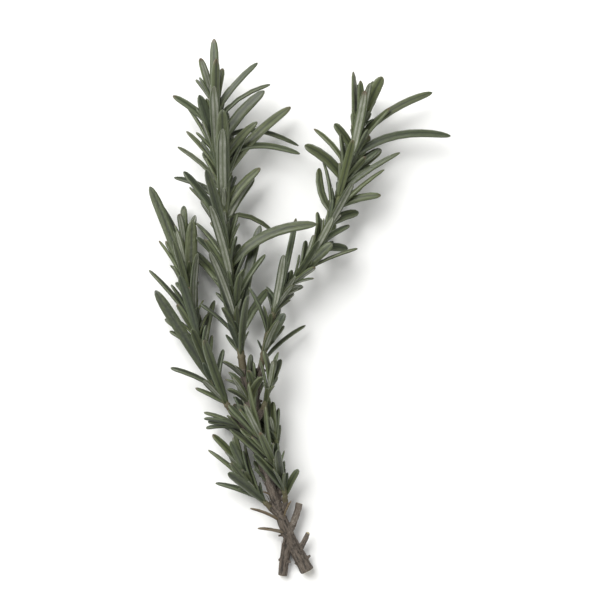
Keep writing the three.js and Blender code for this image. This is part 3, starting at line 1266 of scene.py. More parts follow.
@dataclass(frozen=True)
class LeafFinish:
    """Rosemary leaf: grooved and grey-green above, pale felt with green rolled margins below.

    Painted shade darkens the groove and a painted highlight lightens the upper margins.
    A reach is where an effect starts and where it is full. A share is how much of it shows.
    """

    name: str = "rosemary_leaf"
    dark_green: Tint = Tint(19, 27, 8)
    light_green: Tint = Tint(84, 93, 58)
    olive: Tint = Tint(74, 80, 34)
    blue_grey: Tint = Tint(58, 70, 52)
    # Painted highlight: the rolled upper margins, lighter where they catch the light.
    rim_highlight: Tint = Tint(98, 107, 78)
    # Painted shade: a darker line in the groove along the midrib, where shade falls.
    groove_shade: Tint = Tint(18, 26, 8)
    felt: Tint = Tint(158, 160, 148)
    felt_shade: Tint = Tint(108, 112, 94)
    rib: Tint = Tint(80, 88, 60)
    dry_tip: Tint = Tint(84, 68, 46)
    sheen: float = 0.1
    sheen_roughness: float = 0.6
    shine: float = 0.5
    roughness: float = 0.68
    streak_roughness: float = 0.25
    gloss: float = 0.4
    streak_scale: float = 3.0
    patch_scale: float = 210.0
    down_scale: float = 3600.0
    pit_scale: float = 4200.0
    wrinkle_scale: float = 1100.0
    upper_reach: Span = (0.35, 0.65)
    # Where the painted shade in the groove lies, and how much of it shows.
    groove_shade_reach: Span = (0.0, 0.34)
    groove_shade_share: float = 0.75
    # Where the painted highlight on the upper margins lies, and how much of it shows.
    rim_highlight_reach: Span = (0.55, 1.0)
    rim_highlight_share: float = 0.45
    root_reach: Span = (0.0, 0.16)
    root_share: float = 0.4
    tip_reach: Span = (0.9, 1.0)
    browned_tones: Span = (0.45, 0.9)
    tone_share: float = 0.9
    light_reach: Span = (0.3, 1.45)
    yellow_hues: Span = (0.5, 1.1)
    yellow_patches: Span = (0.5, 0.8)
    yellow_share: float = 0.42
    grey_hues: Span = (0.0, 0.4)
    grey_share: float = 0.4
    felt_reach: Span = (0.3, 0.7)
    down_reach: Span = (0.45, 0.7)
    down_share: float = 0.35
    rib_reach: Span = (0.05, 0.3)
    rib_share: float = 0.8
    rolled_reach: Span = (0.5, 0.75)
    wrinkle_height: float = 0.7
    pit_height: float = 0.4
    relief: float = 0.7
    relief_depth: float = 0.00016

    def material(self) -> Material:
        """Builds the leaf's material from its place on the leaf, its grain and its tone.

        Returns:
            The material.
        """
        paint = Shading(self.name)
        across, upper, along = paint.parts(paint.reading(Reading.PLACE))
        tone = paint.reading(Reading.TONE)
        grain = paint.reading(Reading.GRAIN)
        streaks = paint.noise(grain, self.streak_scale, 4.0)
        patches = paint.noise(paint.object_place(), self.patch_scale)
        side = paint.math("ABSOLUTE", across)

        green = self._green(paint, tone, streaks, patches)
        # Painted shade darkens the groove along the midrib.
        in_shaded_groove = paint.math("SUBTRACT", 1.0, paint.ramp(side, *self.groove_shade_reach))
        above = paint.mix(paint.math("MULTIPLY", in_shaded_groove, self.groove_shade_share), green, self.groove_shade)
        # A painted highlight lightens the upper margins.
        on_lit_rim = paint.ramp(side, *self.rim_highlight_reach)
        above = paint.mix(paint.math("MULTIPLY", on_lit_rim, self.rim_highlight_share), above, self.rim_highlight)
        below = self._felt_side(paint, side, streaks, patches, green)

        is_upper = paint.ramp(upper, *self.upper_reach)
        color = paint.mix(is_upper, below, above)
        at_root = paint.math("SUBTRACT", 1.0, paint.ramp(along, *self.root_reach))
        color = paint.mix(paint.math("MULTIPLY", at_root, self.root_share), color, self.olive)
        at_tip = paint.ramp(along, *self.tip_reach)
        browned = paint.ramp(tone, *self.browned_tones)
        color = paint.mix(paint.math("MULTIPLY", at_tip, browned), color, self.dry_tip)
        paint.feed(paint.shader.inputs["Base Color"], color)

        glossy = paint.math("MULTIPLY", is_upper, self.gloss)
        rough = paint.math("MULTIPLY", streaks, self.streak_roughness)
        rough = paint.math("ADD", paint.math("SUBTRACT", rough, glossy), self.roughness)
        paint.feed(paint.shader.inputs["Roughness"], rough)
        self._relief(paint, streaks)
        paint.shader.inputs["Specular IOR Level"].default_value = self.shine
        paint.shader.inputs["Sheen Weight"].default_value = self.sheen
        paint.shader.inputs["Sheen Roughness"].default_value = self.sheen_roughness
        return paint.material

    def _green(self, paint: Shading, tone: Socket, streaks: Socket, patches: Socket) -> Socket:
        """The green of the leaf's skin.

        Args:
            paint: the material being built.
            tone: how light the whole leaf is.
            streaks: noise that runs along the leaf.
            patches: noise that doesn't.

        Returns:
            The colour.
        """
        hue = paint.reading(Reading.HUE)
        shade = paint.math("ADD", paint.math("MULTIPLY", tone, self.tone_share), streaks)
        lit = paint.ramp(shade, *self.light_reach)
        green = paint.mix(lit, self.dark_green, self.light_green)
        yellow_leaf = paint.ramp(hue, *self.yellow_hues)
        yellow_patch = paint.ramp(patches, *self.yellow_patches)
        yellowing = paint.math("ADD", yellow_leaf, yellow_patch)
        yellowing = paint.math("MULTIPLY", yellowing, self.yellow_share)
        green = paint.mix(yellowing, green, self.olive)
        greying = paint.math("SUBTRACT", 1.0, paint.ramp(hue, *self.grey_hues))
        greying = paint.math("MULTIPLY", greying, self.grey_share)
        return paint.mix(greying, green, self.blue_grey)

    def _felt_side(
        self, paint: Shading, side: Socket, streaks: Socket, patches: Socket, green: Socket
    ) -> Socket:
        """The underside: pale down between the raised rib and the rolled margins.

        Args:
            paint: the material being built.
            side: how far a place is from the midrib.
            streaks: noise that runs along the leaf.
            patches: noise that doesn't.
            green: the skin's colour, which the margins have.

        Returns:
            The colour.
        """
        down = paint.noise(paint.object_place(), self.down_scale, 2.0)
        down = paint.ramp(down, *self.down_reach)
        shade = paint.math("MULTIPLY", paint.math("ADD", streaks, patches), 0.5)
        shade = paint.ramp(shade, *self.felt_reach)
        felt = paint.mix(shade, self.felt, self.felt_shade)
        felt = paint.mix(paint.math("MULTIPLY", down, self.down_share), felt, self.rib)
        on_rib = paint.math("SUBTRACT", 1.0, paint.ramp(side, *self.rib_reach))
        felt = paint.mix(paint.math("MULTIPLY", on_rib, self.rib_share), felt, self.rib)
        return paint.mix(paint.ramp(side, *self.rolled_reach), felt, green)

    def _relief(self, paint: Shading, streaks: Socket) -> None:
        """Adds wrinkles along the leaf and fine pits all over it.

        Args:
            paint: the material being built.
            streaks: noise that runs along the leaf.
        """
        pits = paint.noise(paint.object_place(), self.pit_scale, 2.0)
        wrinkles = paint.noise(paint.object_place(), self.wrinkle_scale)
        wrinkles = paint.math("MULTIPLY", wrinkles, self.wrinkle_height)
        height = paint.math("ADD", streaks, wrinkles)
        height = paint.math("ADD", height, paint.math("MULTIPLY", pits, self.pit_height))
        normal = paint.bump(height, self.relief, self.relief_depth)
        paint.feed(paint.shader.inputs["Normal"], normal)


DRY_LEAF = LeafFinish(
    name="dried_leaf",
    dark_green=Tint(66, 54, 40),
    light_green=Tint(122, 106, 80),
    olive=Tint(104, 92, 62),
    blue_grey=Tint(112, 102, 86),
    # Painted highlight on the margins, as on the green leaf.
    rim_highlight=Tint(128, 114, 90),
    # Painted shade in the groove, as on the green leaf.
    groove_shade=Tint(52, 42, 32),
    felt=Tint(142, 134, 116),
    felt_shade=Tint(110, 98, 80),
    rib=Tint(98, 84, 62),
    dry_tip=Tint(80, 64, 46),
    sheen=0.05,
)


@dataclass(frozen=True)
class YoungStemFinish:
    """The square green stem of this year's growth, downy and browning towards its base."""

    green: Tint = Tint(84, 90, 54)
    brown: Tint = Tint(82, 74, 54)
    down: Tint = Tint(122, 122, 100)
    streak_scale: float = 4.0
    down_scale: float = 2400.0
    brown_reach: Span = (1.0, 1.5)
    down_reach: Span = (0.5, 0.75)
    down_share: float = 0.45
    roughness: float = 0.6
    streak_roughness: float = 0.25
    relief: float = 0.6
    relief_depth: float = 0.00015

    def material(self) -> Material:
        """Builds the young stem's material along its grain.

        Returns:
            The material.
        """
        paint = Shading("young_stem")
        grain = paint.reading(Reading.GRAIN)
        tone = paint.reading(Reading.TONE)
        streaks = paint.noise(grain, self.streak_scale, 4.0)
        browning = paint.ramp(paint.math("ADD", tone, streaks), *self.brown_reach)
        color = paint.mix(browning, self.green, self.brown)
        downy = paint.noise(paint.object_place(), self.down_scale)
        downy = paint.ramp(downy, *self.down_reach)
        color = paint.mix(paint.math("MULTIPLY", downy, self.down_share), color, self.down)
        paint.feed(paint.shader.inputs["Base Color"], color)
        rough = paint.math("MULTIPLY", streaks, self.streak_roughness)
        rough = paint.math("ADD", self.roughness, rough)
        paint.feed(paint.shader.inputs["Roughness"], rough)
        normal = paint.bump(streaks, self.relief, self.relief_depth)
        paint.feed(paint.shader.inputs["Normal"], normal)
        return paint.material


@dataclass(frozen=True)
class BarkFinish:
    """Old rosemary wood: grey-brown bark in fibrous strips, pale where it is cut."""

    name: str = "rosemary_bark"
    brown: Tint = Tint(84, 74, 64)
    dark: Tint = Tint(38, 32, 26)
    grey: Tint = Tint(126, 119, 109)
    wood: Tint = Tint(176, 166, 132)
    wood_ring: Tint = Tint(158, 145, 108)
    pith: Tint = Tint(124, 106, 76)
    ring_pitch: float = 34.0
    strip_scale: float = 2.2
    strip_detail: float = 5.0
    fibre_scale: float = 7.5
    patch_scale: float = 160.0
    ridge_share: float = 0.35
    brown_reach: Span = (0.44, 0.8)
    weather_reach: Span = (0.42, 0.66)
    least_weather: float = 0.5
    ring_waver: float = 0.3
    ring_reach: Span = (-0.6, 1.0)
    fibre_share: float = 0.35
    pith_reach: Span = (0.84, 0.93)
    cut_reach: Span = (0.1, 0.2)
    roughness: float = 0.72
    strip_roughness: float = 0.25
    fibre_height: float = 0.5
    relief: float = 0.8
    relief_depth: float = 0.0003

    def material(self) -> Material:
        """Builds the bark's material along its grain, with fresh wood on the cut ends.

        Returns:
            The material.
        """
        paint = Shading(self.name)
        grain = paint.reading(Reading.GRAIN)
        ridge = paint.reading(Reading.RIDGE)
        strips = paint.noise(grain, self.strip_scale, self.strip_detail)
        fibres = paint.noise(grain, self.fibre_scale, 4.0)
        patches = paint.noise(paint.object_place(), self.patch_scale)
        raised = paint.math("ADD", strips, paint.math("MULTIPLY", ridge, self.ridge_share))
        color = paint.mix(paint.ramp(raised, *self.brown_reach), self.dark, self.brown)
        weather = paint.math("MULTIPLY", paint.ramp(fibres, *self.weather_reach), patches)
        exposed = paint.math("ADD", ridge, self.least_weather)
        weather = paint.math("MULTIPLY", weather, exposed)
        color = paint.mix(weather, color, self.grey)

        cut = paint.reading(Reading.CUT)
        uneven = paint.math("ADD", cut, paint.math("MULTIPLY", patches, self.ring_waver))
        rings = paint.math("SINE", paint.math("MULTIPLY", uneven, self.ring_pitch))
        inner = paint.mix(paint.ramp(rings, *self.ring_reach), self.wood, self.wood_ring)
        fibrous = paint.math("MULTIPLY", fibres, self.fibre_share)
        inner = paint.mix(fibrous, inner, self.wood_ring)
        inner = paint.mix(paint.ramp(cut, *self.pith_reach), inner, self.pith)
        color = paint.mix(paint.ramp(cut, *self.cut_reach), color, inner)
        paint.feed(paint.shader.inputs["Base Color"], color)
        rough = paint.math("MULTIPLY", strips, self.strip_roughness)
        rough = paint.math("ADD", self.roughness, rough)
        paint.feed(paint.shader.inputs["Roughness"], rough)
        height = paint.math("MULTIPLY", fibres, self.fibre_height)
        height = paint.math("ADD", strips, height)
        normal = paint.bump(height, self.relief, self.relief_depth)
        paint.feed(paint.shader.inputs["Normal"], normal)
        return paint.material


@dataclass(frozen=True)
class TableFinish:
    """A plain pale table top."""

    pale: Tint = Tint(236, 236, 234)
    roughness: float = 0.9

    def material(self) -> Material:
        """Builds the table's material.

        Returns:
            The material.
        """
        paint = Shading("pale_table")
        paint.shader.inputs["Base Color"].default_value = self.pale.linear()
        paint.shader.inputs["Roughness"].default_value = self.roughness
        return paint.material


# Modelling.


class Bench:
    """Modelling moves shared by every piece: each acts on one object at a time."""

    @staticmethod
    def clear_selection() -> None:
        """Leaves object mode with nothing selected."""
        if bpy.context.object and bpy.context.object.mode != "OBJECT":
            bpy.ops.object.mode_set(mode="OBJECT")
        bpy.ops.object.select_all(action="DESELECT")

    @staticmethod
    def start_section(name: str, section: Sequence[tuple[float, float]]) -> Piece:
        """Adds a filled circle on the XY plane and pulls its corners to a section.

        Args:
            name: the new object's name.
            section: the corners, anticlockwise seen from above, in metres.

        Returns:
            The object, in edit mode with its one face selected.
        """
        Bench.clear_selection()
        bpy.ops.mesh.primitive_circle_add(
            vertices=len(section), radius=MM, fill_type="NGON", enter_editmode=True
        )
        piece = bpy.context.object
        piece.name = piece.data.name = name
        bpy.ops.mesh.select_mode(type="VERT")
        for index, (x, y) in enumerate(section):
            bpy.ops.mesh.select_all(action="DESELECT")
            corners = bmesh.from_edit_mesh(piece.data)
            corners.verts.ensure_lookup_table()
            corner = corners.verts[index]
            corner.select_set(True)
            corners.select_flush(True)
            move = (x - corner.co.x, y - corner.co.y, 0.0)
            bpy.ops.transform.translate(value=move)
        bpy.ops.mesh.select_all(action="SELECT")
        return piece

    @staticmethod
    def extrude(height: float, step: float, width: float, depth: float) -> None:
        """Extrudes the selected end upwards and resizes it about the Z axis.

        Args:
            height: the new end's height.
            step: how far it moves up.
            width: the change of its size on X, as a share.
            depth: the change of its size on Y, as a share.
        """
        bpy.ops.mesh.extrude_region_move(TRANSFORM_OT_translate={"value": (0, 0, step)})
        bpy.ops.transform.resize(value=(width, depth, 1), center_override=(0, 0, height))

    @staticmethod
    def finish_solid() -> None:
        """Makes every face of the edited solid point outwards and leaves edit mode."""
        bpy.ops.mesh.select_all(action="SELECT")
        bpy.ops.mesh.normals_make_consistent(inside=False)
        bpy.ops.mesh.faces_shade_smooth()
        bpy.ops.object.mode_set(mode="OBJECT")

    @staticmethod
    def copy_of(mould: Piece) -> Piece:
        """Copies a mould into the scene, with a mesh of its own.

        Args:
            mould: the piece to copy.

        Returns:
            The copy.
        """
        copy = mould.copy()
        copy.data = mould.data.copy()
        bpy.context.scene.collection.objects.link(copy)
        return copy

    @staticmethod
    def join(name: str, pieces: list[Piece]) -> Piece:
        """Joins objects into one.

        Args:
            name: the joined object's name.
            pieces: the objects, which the first takes in.

        Returns:
            The joined object.
        """
        Bench.clear_selection()
        for piece in pieces:
            piece.select_set(True)
        bpy.context.view_layer.objects.active = pieces[0]
        if len(pieces) > 1:
            bpy.ops.object.join()
        joined = bpy.context.view_layer.objects.active
        joined.name = joined.data.name = name
        return joined

    @staticmethod
    def apply(piece: Piece, kind: str, **settings: object) -> None:
        """Adds a modifier to a piece and applies it.

        Args:
            piece: the piece.
            kind: the modifier's type.
            settings: its options.
        """
        Bench.clear_selection()
        piece.select_set(True)
        bpy.context.view_layer.objects.active = piece
        modifier = piece.modifiers.new(kind.lower(), kind)
        for key, value in settings.items():
            setattr(modifier, key, value)
        bpy.ops.object.modifier_apply(modifier=modifier.name)

    @staticmethod
    def carry(piece: Piece, which: Reading, values: list[float], size: int) -> None:
        """Stores an attribute on a piece's points.

        Args:
            piece: the piece.
            which: the attribute.
            values: its numbers, point by point.
            size: how many numbers a point has, 1 or 3.
        """
        kind, key = ("FLOAT", "value") if size == 1 else ("FLOAT_VECTOR", "vector")
        layer = piece.data.attributes.get(which.value)
        if layer is None:
            layer = piece.data.attributes.new(which.value, kind, "POINT")
        layer.data.foreach_set(key, values)


def lay_along(piece: Piece, frame_at: Callable[[float], tuple[Place, Axes]]) -> list[Vector]:
    """Bends a piece that was modelled straight up the Z axis on to a path.

    Args:
        piece: the piece, whose upper side faces -Y.
        frame_at: gives the path's place and axes at a height, all in millimetres.

    Returns:
        Where each point was before the bend, in millimetres.
    """
    mesh = piece.data
    before = [vertex.co / MM for vertex in mesh.vertices]
    frames: dict[float, tuple[Place, Axes]] = {}
    places: list[float] = []
    for point in before:
        height = round(point.z, HEIGHT_DIGITS)
        if height not in frames:
            frames[height] = frame_at(height)
        middle, axes = frames[height]
        spot = middle + axes.across * point.x + axes.out * -point.y
        places.extend((spot.x * MM, spot.y * MM, max(0.0, spot.z) * MM))
    mesh.vertices.foreach_set("co", places)
    mesh.update()
    return before


class LeafKind(Enum):
    """The kinds of leaf on a sprig."""

    LONG = "long"
    MATURE = "mature"
    CURLED = "curled"
    YOUNG = "young"


Moulds = dict[LeafKind, Piece]


@dataclass
class LeafMould:
    """One leaf, modelled once, straight and one unit in length and width, then copied.

    The half section runs from the furrow above, over the margin, to the rib below, as shares of
    half the width and half the thickness. A ring is a place along the leaf, with its shares of
    the width and the thickness.
    """

    kind: LeafKind = LeafKind.MATURE
    half_section: tuple[tuple[float, float], ...] = (
        (0.0, 0.3),
        (0.5, 1.0),
        (1.0, 0.42),
        (0.9, -0.95),
        (0.5, -0.2),
        (0.0, -0.8),
    )
    rings: tuple[Triple, ...] = (
        (0.0, 0.42, 0.85),
        (0.1, 0.66, 0.9),
        (0.3, 0.96, 1.0),
        (0.52, 1.0, 1.0),
        (0.74, 0.99, 1.0),
        (0.89, 0.84, 0.92),
        (0.958, 0.58, 0.75),
        (0.99, 0.26, 0.45),
    )
    upper_from: float = 0.2
    tip_side: float = 0.5

    def model(self) -> Piece:
        """Models the blade by extruding its section up to the tip.

        Returns:
            The mould, a millimetre in size, with its place attribute.
        """
        right = [(x * 0.5 * MM, -y * 0.5 * MM) for x, y in self.half_section]
        left = [(-x, y) for x, y in reversed(right[1:-1])]
        piece = Bench.start_section(f"{self.kind.value}_mould", right + left)
        _, first_width, first_depth = self.rings[0]
        bpy.ops.transform.resize(value=(first_width, first_depth, 1), center_override=(0, 0, 0))
        for before, ring in zip(self.rings, self.rings[1:]):
            step = (ring[0] - before[0]) * MM
            Bench.extrude(ring[0] * MM, step, ring[1] / before[1], ring[2] / before[2])
        bpy.ops.mesh.extrude_region_move(
            TRANSFORM_OT_translate={"value": (0, 0, (1 - self.rings[-1][0]) * MM)}
        )
        bpy.ops.mesh.merge(type="CENTER")
        Bench.finish_solid()
        self._mark_places(piece)
        return piece

    def _mark_places(self, piece: Piece) -> None:
        """Marks each point with its place across the leaf, its side, and its place along.

        Args:
            piece: the mould.
        """
        corners = len(self.half_section) * 2 - 2
        section = list(self.half_section) + [(-x, y) for x, y in self.half_section[-2:0:-1]]
        shares = {round(place, 3): (width, depth) for place, width, depth in self.rings}
        marks: list[float] = []
        for vertex in piece.data.vertices:
            along = vertex.co.z / MM
            width, depth = shares.get(round(along, 3), (0.0, 0.0))
            if width == 0.0:
                marks.extend((0.0, self.tip_side, along))
                continue
            spot = (vertex.co.x / MM / width * 2, -vertex.co.y / MM / depth * 2)
            nearest = min(
                range(corners),
                key=lambda k: math.hypot(section[k][0] - spot[0], section[k][1] - spot[1]),
            )
            x, y = section[nearest]
            marks.extend((x, 1.0 if y > self.upper_from else 0.0, along))
        Bench.carry(piece, Reading.PLACE, marks, 3)


LEAF_MOULDS = (
    LeafMould(),
    LeafMould(
        LeafKind.LONG,
        rings=(
            (0.0, 0.42, 0.85),
            (0.07, 0.6, 0.9),
            (0.16, 0.8, 1.0),
            (0.28, 0.94, 1.0),
            (0.4, 1.0, 1.0),
            (0.52, 1.0, 1.0),
            (0.64, 1.0, 1.0),
            (0.75, 0.99, 1.0),
            (0.85, 0.93, 0.96),
            (0.925, 0.76, 0.88),
            (0.968, 0.52, 0.7),
            (0.992, 0.24, 0.45),
        ),
    ),
    LeafMould(
        LeafKind.CURLED,
        (
            (0.0, 0.55),
            (0.5, 1.05),
            (0.98, 0.5),
            (0.96, -0.75),
            (0.45, -1.15),
            (0.34, -0.35),
        ),
        (
            (0.0, 0.4, 0.85),
            (0.12, 0.66, 0.9),
            (0.34, 0.88, 1.1),
            (0.58, 0.88, 1.15),
            (0.8, 0.82, 1.05),
            (0.93, 0.6, 0.82),
            (0.985, 0.26, 0.5),
        ),
    ),
    LeafMould(
        LeafKind.YOUNG,
        ((0.0, 0.4), (0.55, 1.0), (1.0, 0.2), (0.6, -0.7), (0.0, -0.9)),
        (
            (0.0, 0.4, 0.8),
            (0.2, 0.8, 1.0),
            (0.5, 1.0, 1.0),
            (0.78, 0.84, 0.9),
            (0.94, 0.44, 0.65),
        ),
    ),
)


@dataclass
class Foliage:
    """Leaves on one stem: copies of the moulds, each laid along its own midrib."""

    leaves: list[LeafPlan]
    seed: int
    young_length: float = 9.5
    long_length: float = 25.0
    curled_share: float = 0.3
    turned_share: float = 0.55
    twist: float = 22.0
    sway: float = 0.3
    darkest: float = 0.0
    lightest: float = 1.0
    slimness: float = 1.0
    least_light: float = 0.08
    light_with_height: float = 0.27
    light_spread: float = 0.65
    light_bias: float = 1.6
    untwisted_share: float = 0.4
    sway_outwards: float = 0.5
    grain_shift: float = 40.0
    grain_along: float = 0.2

    def build(self, name: str, moulds: Moulds) -> Piece:
        """Copies a mould for every planned leaf and joins the copies.

        Args:
            name: the piece's name.
            moulds: the leaves to copy, by kind.

        Returns:
            The leaves as one piece.
        """
        draws = Draws(self.seed + FOLIAGE_DRAWS)
        return Bench.join(name, [self._leaf(moulds, leaf, draws) for leaf in self.leaves])

    def _kind(self, length: float, draw: float) -> LeafKind:
        """Chooses the kind of a leaf.

        Args:
            length: the leaf's length.
            draw: a number from 0 to 1.

        Returns:
            The kind.
        """
        if length < self.young_length:
            return LeafKind.YOUNG
        if length > self.long_length:
            return LeafKind.LONG
        return LeafKind.CURLED if draw < self.curled_share else LeafKind.MATURE

    def _roll(self, leaf: LeafPlan, draw: float) -> float:
        """Rolls a leaf: many whose pale side would face the sky turn to the light.

        Args:
            leaf: the leaf's plan.
            draw: a number from 0 to 1.

        Returns:
            The roll, in degrees.
        """
        out = Axes.of(leaf.direction_at(0.5), leaf.upper, leaf.roll).out
        shows_back = abs(leaf.roll) < RULE.quarter_turn and out.z < 0
        is_turned = shows_back and draw < self.turned_share
        return leaf.roll + (180.0 if is_turned else 0.0)

    def _leaf(self, moulds: Moulds, leaf: LeafPlan, draws: Draws) -> Piece:
        """Lays one copy of a mould along a leaf's midrib.

        Args:
            moulds: the straight leaves, by kind.
            leaf: the leaf's plan.
            draws: what makes leaves differ.

        Returns:
            The leaf, with its grain and tone.
        """
        length = leaf.length()
        mould = moulds[self._kind(length, draws.next())]
        copy = Bench.copy_of(mould)
        width = leaf.width * self.slimness
        fullness = min(1.0, RULE.thinnest + RULE.thickening * width / RULE.width)
        thickness = RULE.thickness * fullness
        roll = self._roll(leaf, draws.next())
        twist = 0.0 if leaf.lies else self.twist * draws.swing()
        sway = 0.0 if leaf.lies else self.sway * draws.swing()
        light = self.least_light + self.light_with_height * leaf.height_on_shoot
        light += self.light_spread * draws.next() ** self.light_bias
        tone = self.darkest + (self.lightest - self.darkest) * light
        hue = draws.next()
        shift = self.grain_shift * draws.next()

        def frame_at(share: float) -> tuple[Place, Axes]:
            """Finds the midrib's place and the blade's axes, scaled to the leaf's size.

            Args:
                share: how far from the root (0) to the tip (1).

            Returns:
                The place and the axes.
            """
            turned = roll + twist * (share - self.untwisted_share)
            axes = Axes.of(leaf.direction_at(share), leaf.upper, turned)
            bend = sway * math.sin(math.pi * share)
            aside = (axes.across + axes.out * self.sway_outwards) * bend
            sized = Axes(axes.across * width, axes.out * thickness)
            return leaf.point_at(share) + aside, sized

        before = lay_along(copy, frame_at)
        grain: list[float] = []
        for point in before:
            along = point.z * length * self.grain_along
            grain.extend((point.x * width + shift, point.y * thickness, along))
        Bench.carry(copy, Reading.GRAIN, grain, 3)
        Bench.carry(copy, Reading.TONE, [tone] * len(before), 1)
        Bench.carry(copy, Reading.HUE, [hue] * len(before), 1)
        return copy


@dataclass
class LeafyShoot:
    """A shoot's green stem and its leaves, which stand for the shoot's solid.

    The swelling gives the rings at a pair: how far up from it they are, in millimetres, and
    their share of the stem's radius.
    """

    plan: ShootPlan
    stem_sides: int = 8
    sunk_start: float = 1.2
    square_corner: float = 1.1
    square_side: float = 0.9
    swelling: tuple[Span, ...] = ((-0.5, 0.96), (0.0, 1.14), (0.6, 0.94))
    ring_gap: float = 0.2
    end_share: float = 0.8
    grain_across: float = 2.0
    grain_along: float = 0.12

    def build(
        self, moulds: Moulds, leaf: Material, young_stem: Material
    ) -> list[Piece]:
        """Builds the shoot's two pieces.

        Args:
            moulds: the leaves to copy, by kind.
            leaf: the leaves' material.
            young_stem: the green stem's material.

        Returns:
            The leaves and the stem.
        """
        leaves = Foliage(self.plan.leaves, self.plan.seed).build(
            f"{self.plan.node}_leaves", moulds
        )
        leaves.data.materials.append(leaf)
        stem = self._stem()
        stem.data.materials.append(young_stem)
        for piece in (leaves, stem):
            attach(piece, ROOT_BODY)
            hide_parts(self.plan.node)
        return [leaves, stem]

    def _stem(self) -> Piece:
        """Models the green stem straight, square in section, and lays it along its line.

        Returns:
            The stem, with its grain and tone.
        """
        line = self.plan.line
        length = line.length()
        section = []
        for k in range(self.stem_sides):
            angle = 2 * math.pi * k / self.stem_sides
            reach = self.square_corner if k % 2 else self.square_side
            section.append((math.cos(angle) * reach * MM, math.sin(angle) * reach * MM))
        stem = Bench.start_section(f"{self.plan.node}_stem", section)
        rings = self._rings(length)
        share, size = rings[0]
        bpy.ops.transform.resize(value=(size, size, 1), center_override=(0, 0, 0))
        bpy.ops.transform.translate(value=(0, 0, share * MM))
        for (before, old), (share, size) in zip(rings, rings[1:]):
            Bench.extrude(share * MM, (share - before) * MM, size / old, size / old)
        Bench.finish_solid()

        def frame_at(share: float) -> tuple[Place, Axes]:
            """Finds the stem's place and axes, straight back into the wood before its start.

            Args:
                share: how far along the stem.

            Returns:
                The place and the axes.
            """
            station = max(0.0, share * line.spans)
            forward = line.direction_at(station)
            back = forward * (min(0.0, share) * length)
            return line.point_at(station) + back, Axes.of(forward, UP)

        before = lay_along(stem, frame_at)
        grain: list[float] = []
        tones: list[float] = []
        for point in before:
            across = (point.x * self.grain_across, point.y * self.grain_across)
            grain.extend((*across, point.z * length * self.grain_along))
            tones.append(1 - point.z)
        Bench.carry(stem, Reading.GRAIN, grain, 3)
        Bench.carry(stem, Reading.TONE, tones, 1)
        return stem

    def _rings(self, length: float) -> list[tuple[float, float]]:
        """The stem's rings, swollen where each pair of leaves leaves it.

        Args:
            length: the stem's length.

        Returns:
            Each ring's share of the length and its radius, both in order.
        """
        line, rule = self.plan.line, self.plan.rule
        first = -self.sunk_start / length
        rings = [(first, line.start_radius * self.end_share), (0.0, line.start_radius)]
        for pair in range(rule.pairs):
            station = rule.station_at(pair)
            share = station / line.spans
            radius = line.radius_at(station)
            for shift, size in self.swelling:
                place = share + shift / length
                if rings[-1][0] + self.ring_gap / length < place < 1.0:
                    rings.append((place, radius * size))
        rings.append((1.0, line.end_radius * self.end_share))
        return rings


@dataclass(frozen=True)
class WoodStation:
    """A place on the middle line of a limb, with its axes and what its bark is like."""

    middle: Vector
    across: Vector
    out: Vector
    forward: Vector
    done: float
    offset: float
    pale: float


@dataclass(frozen=True)
class ScarRule:
    """Broken leaf stalks on bare wood, in millimetres, degrees and shares."""

    spacing: float = 4.6
    first: float = 0.6
    least_gap: float = 0.8
    gap_spread: float = 0.5
    bare_end: float = 1.5
    swing: float = 14.0
    length: float = 0.8
    shortest: float = 0.45
    length_spread: float = 0.75
    forward: float = 0.7
    points: Triple = (0.3, 0.7, 1.0)
    radius: float = 0.55
    taper: float = 0.6


@dataclass(frozen=True)
class CutRule:
    """Which points lie on a cut or broken end, by place and by the way they face."""

    reach: float = 1.3
    depth: float = 0.45
    facing: float = 0.6
    fall: float = 0.9


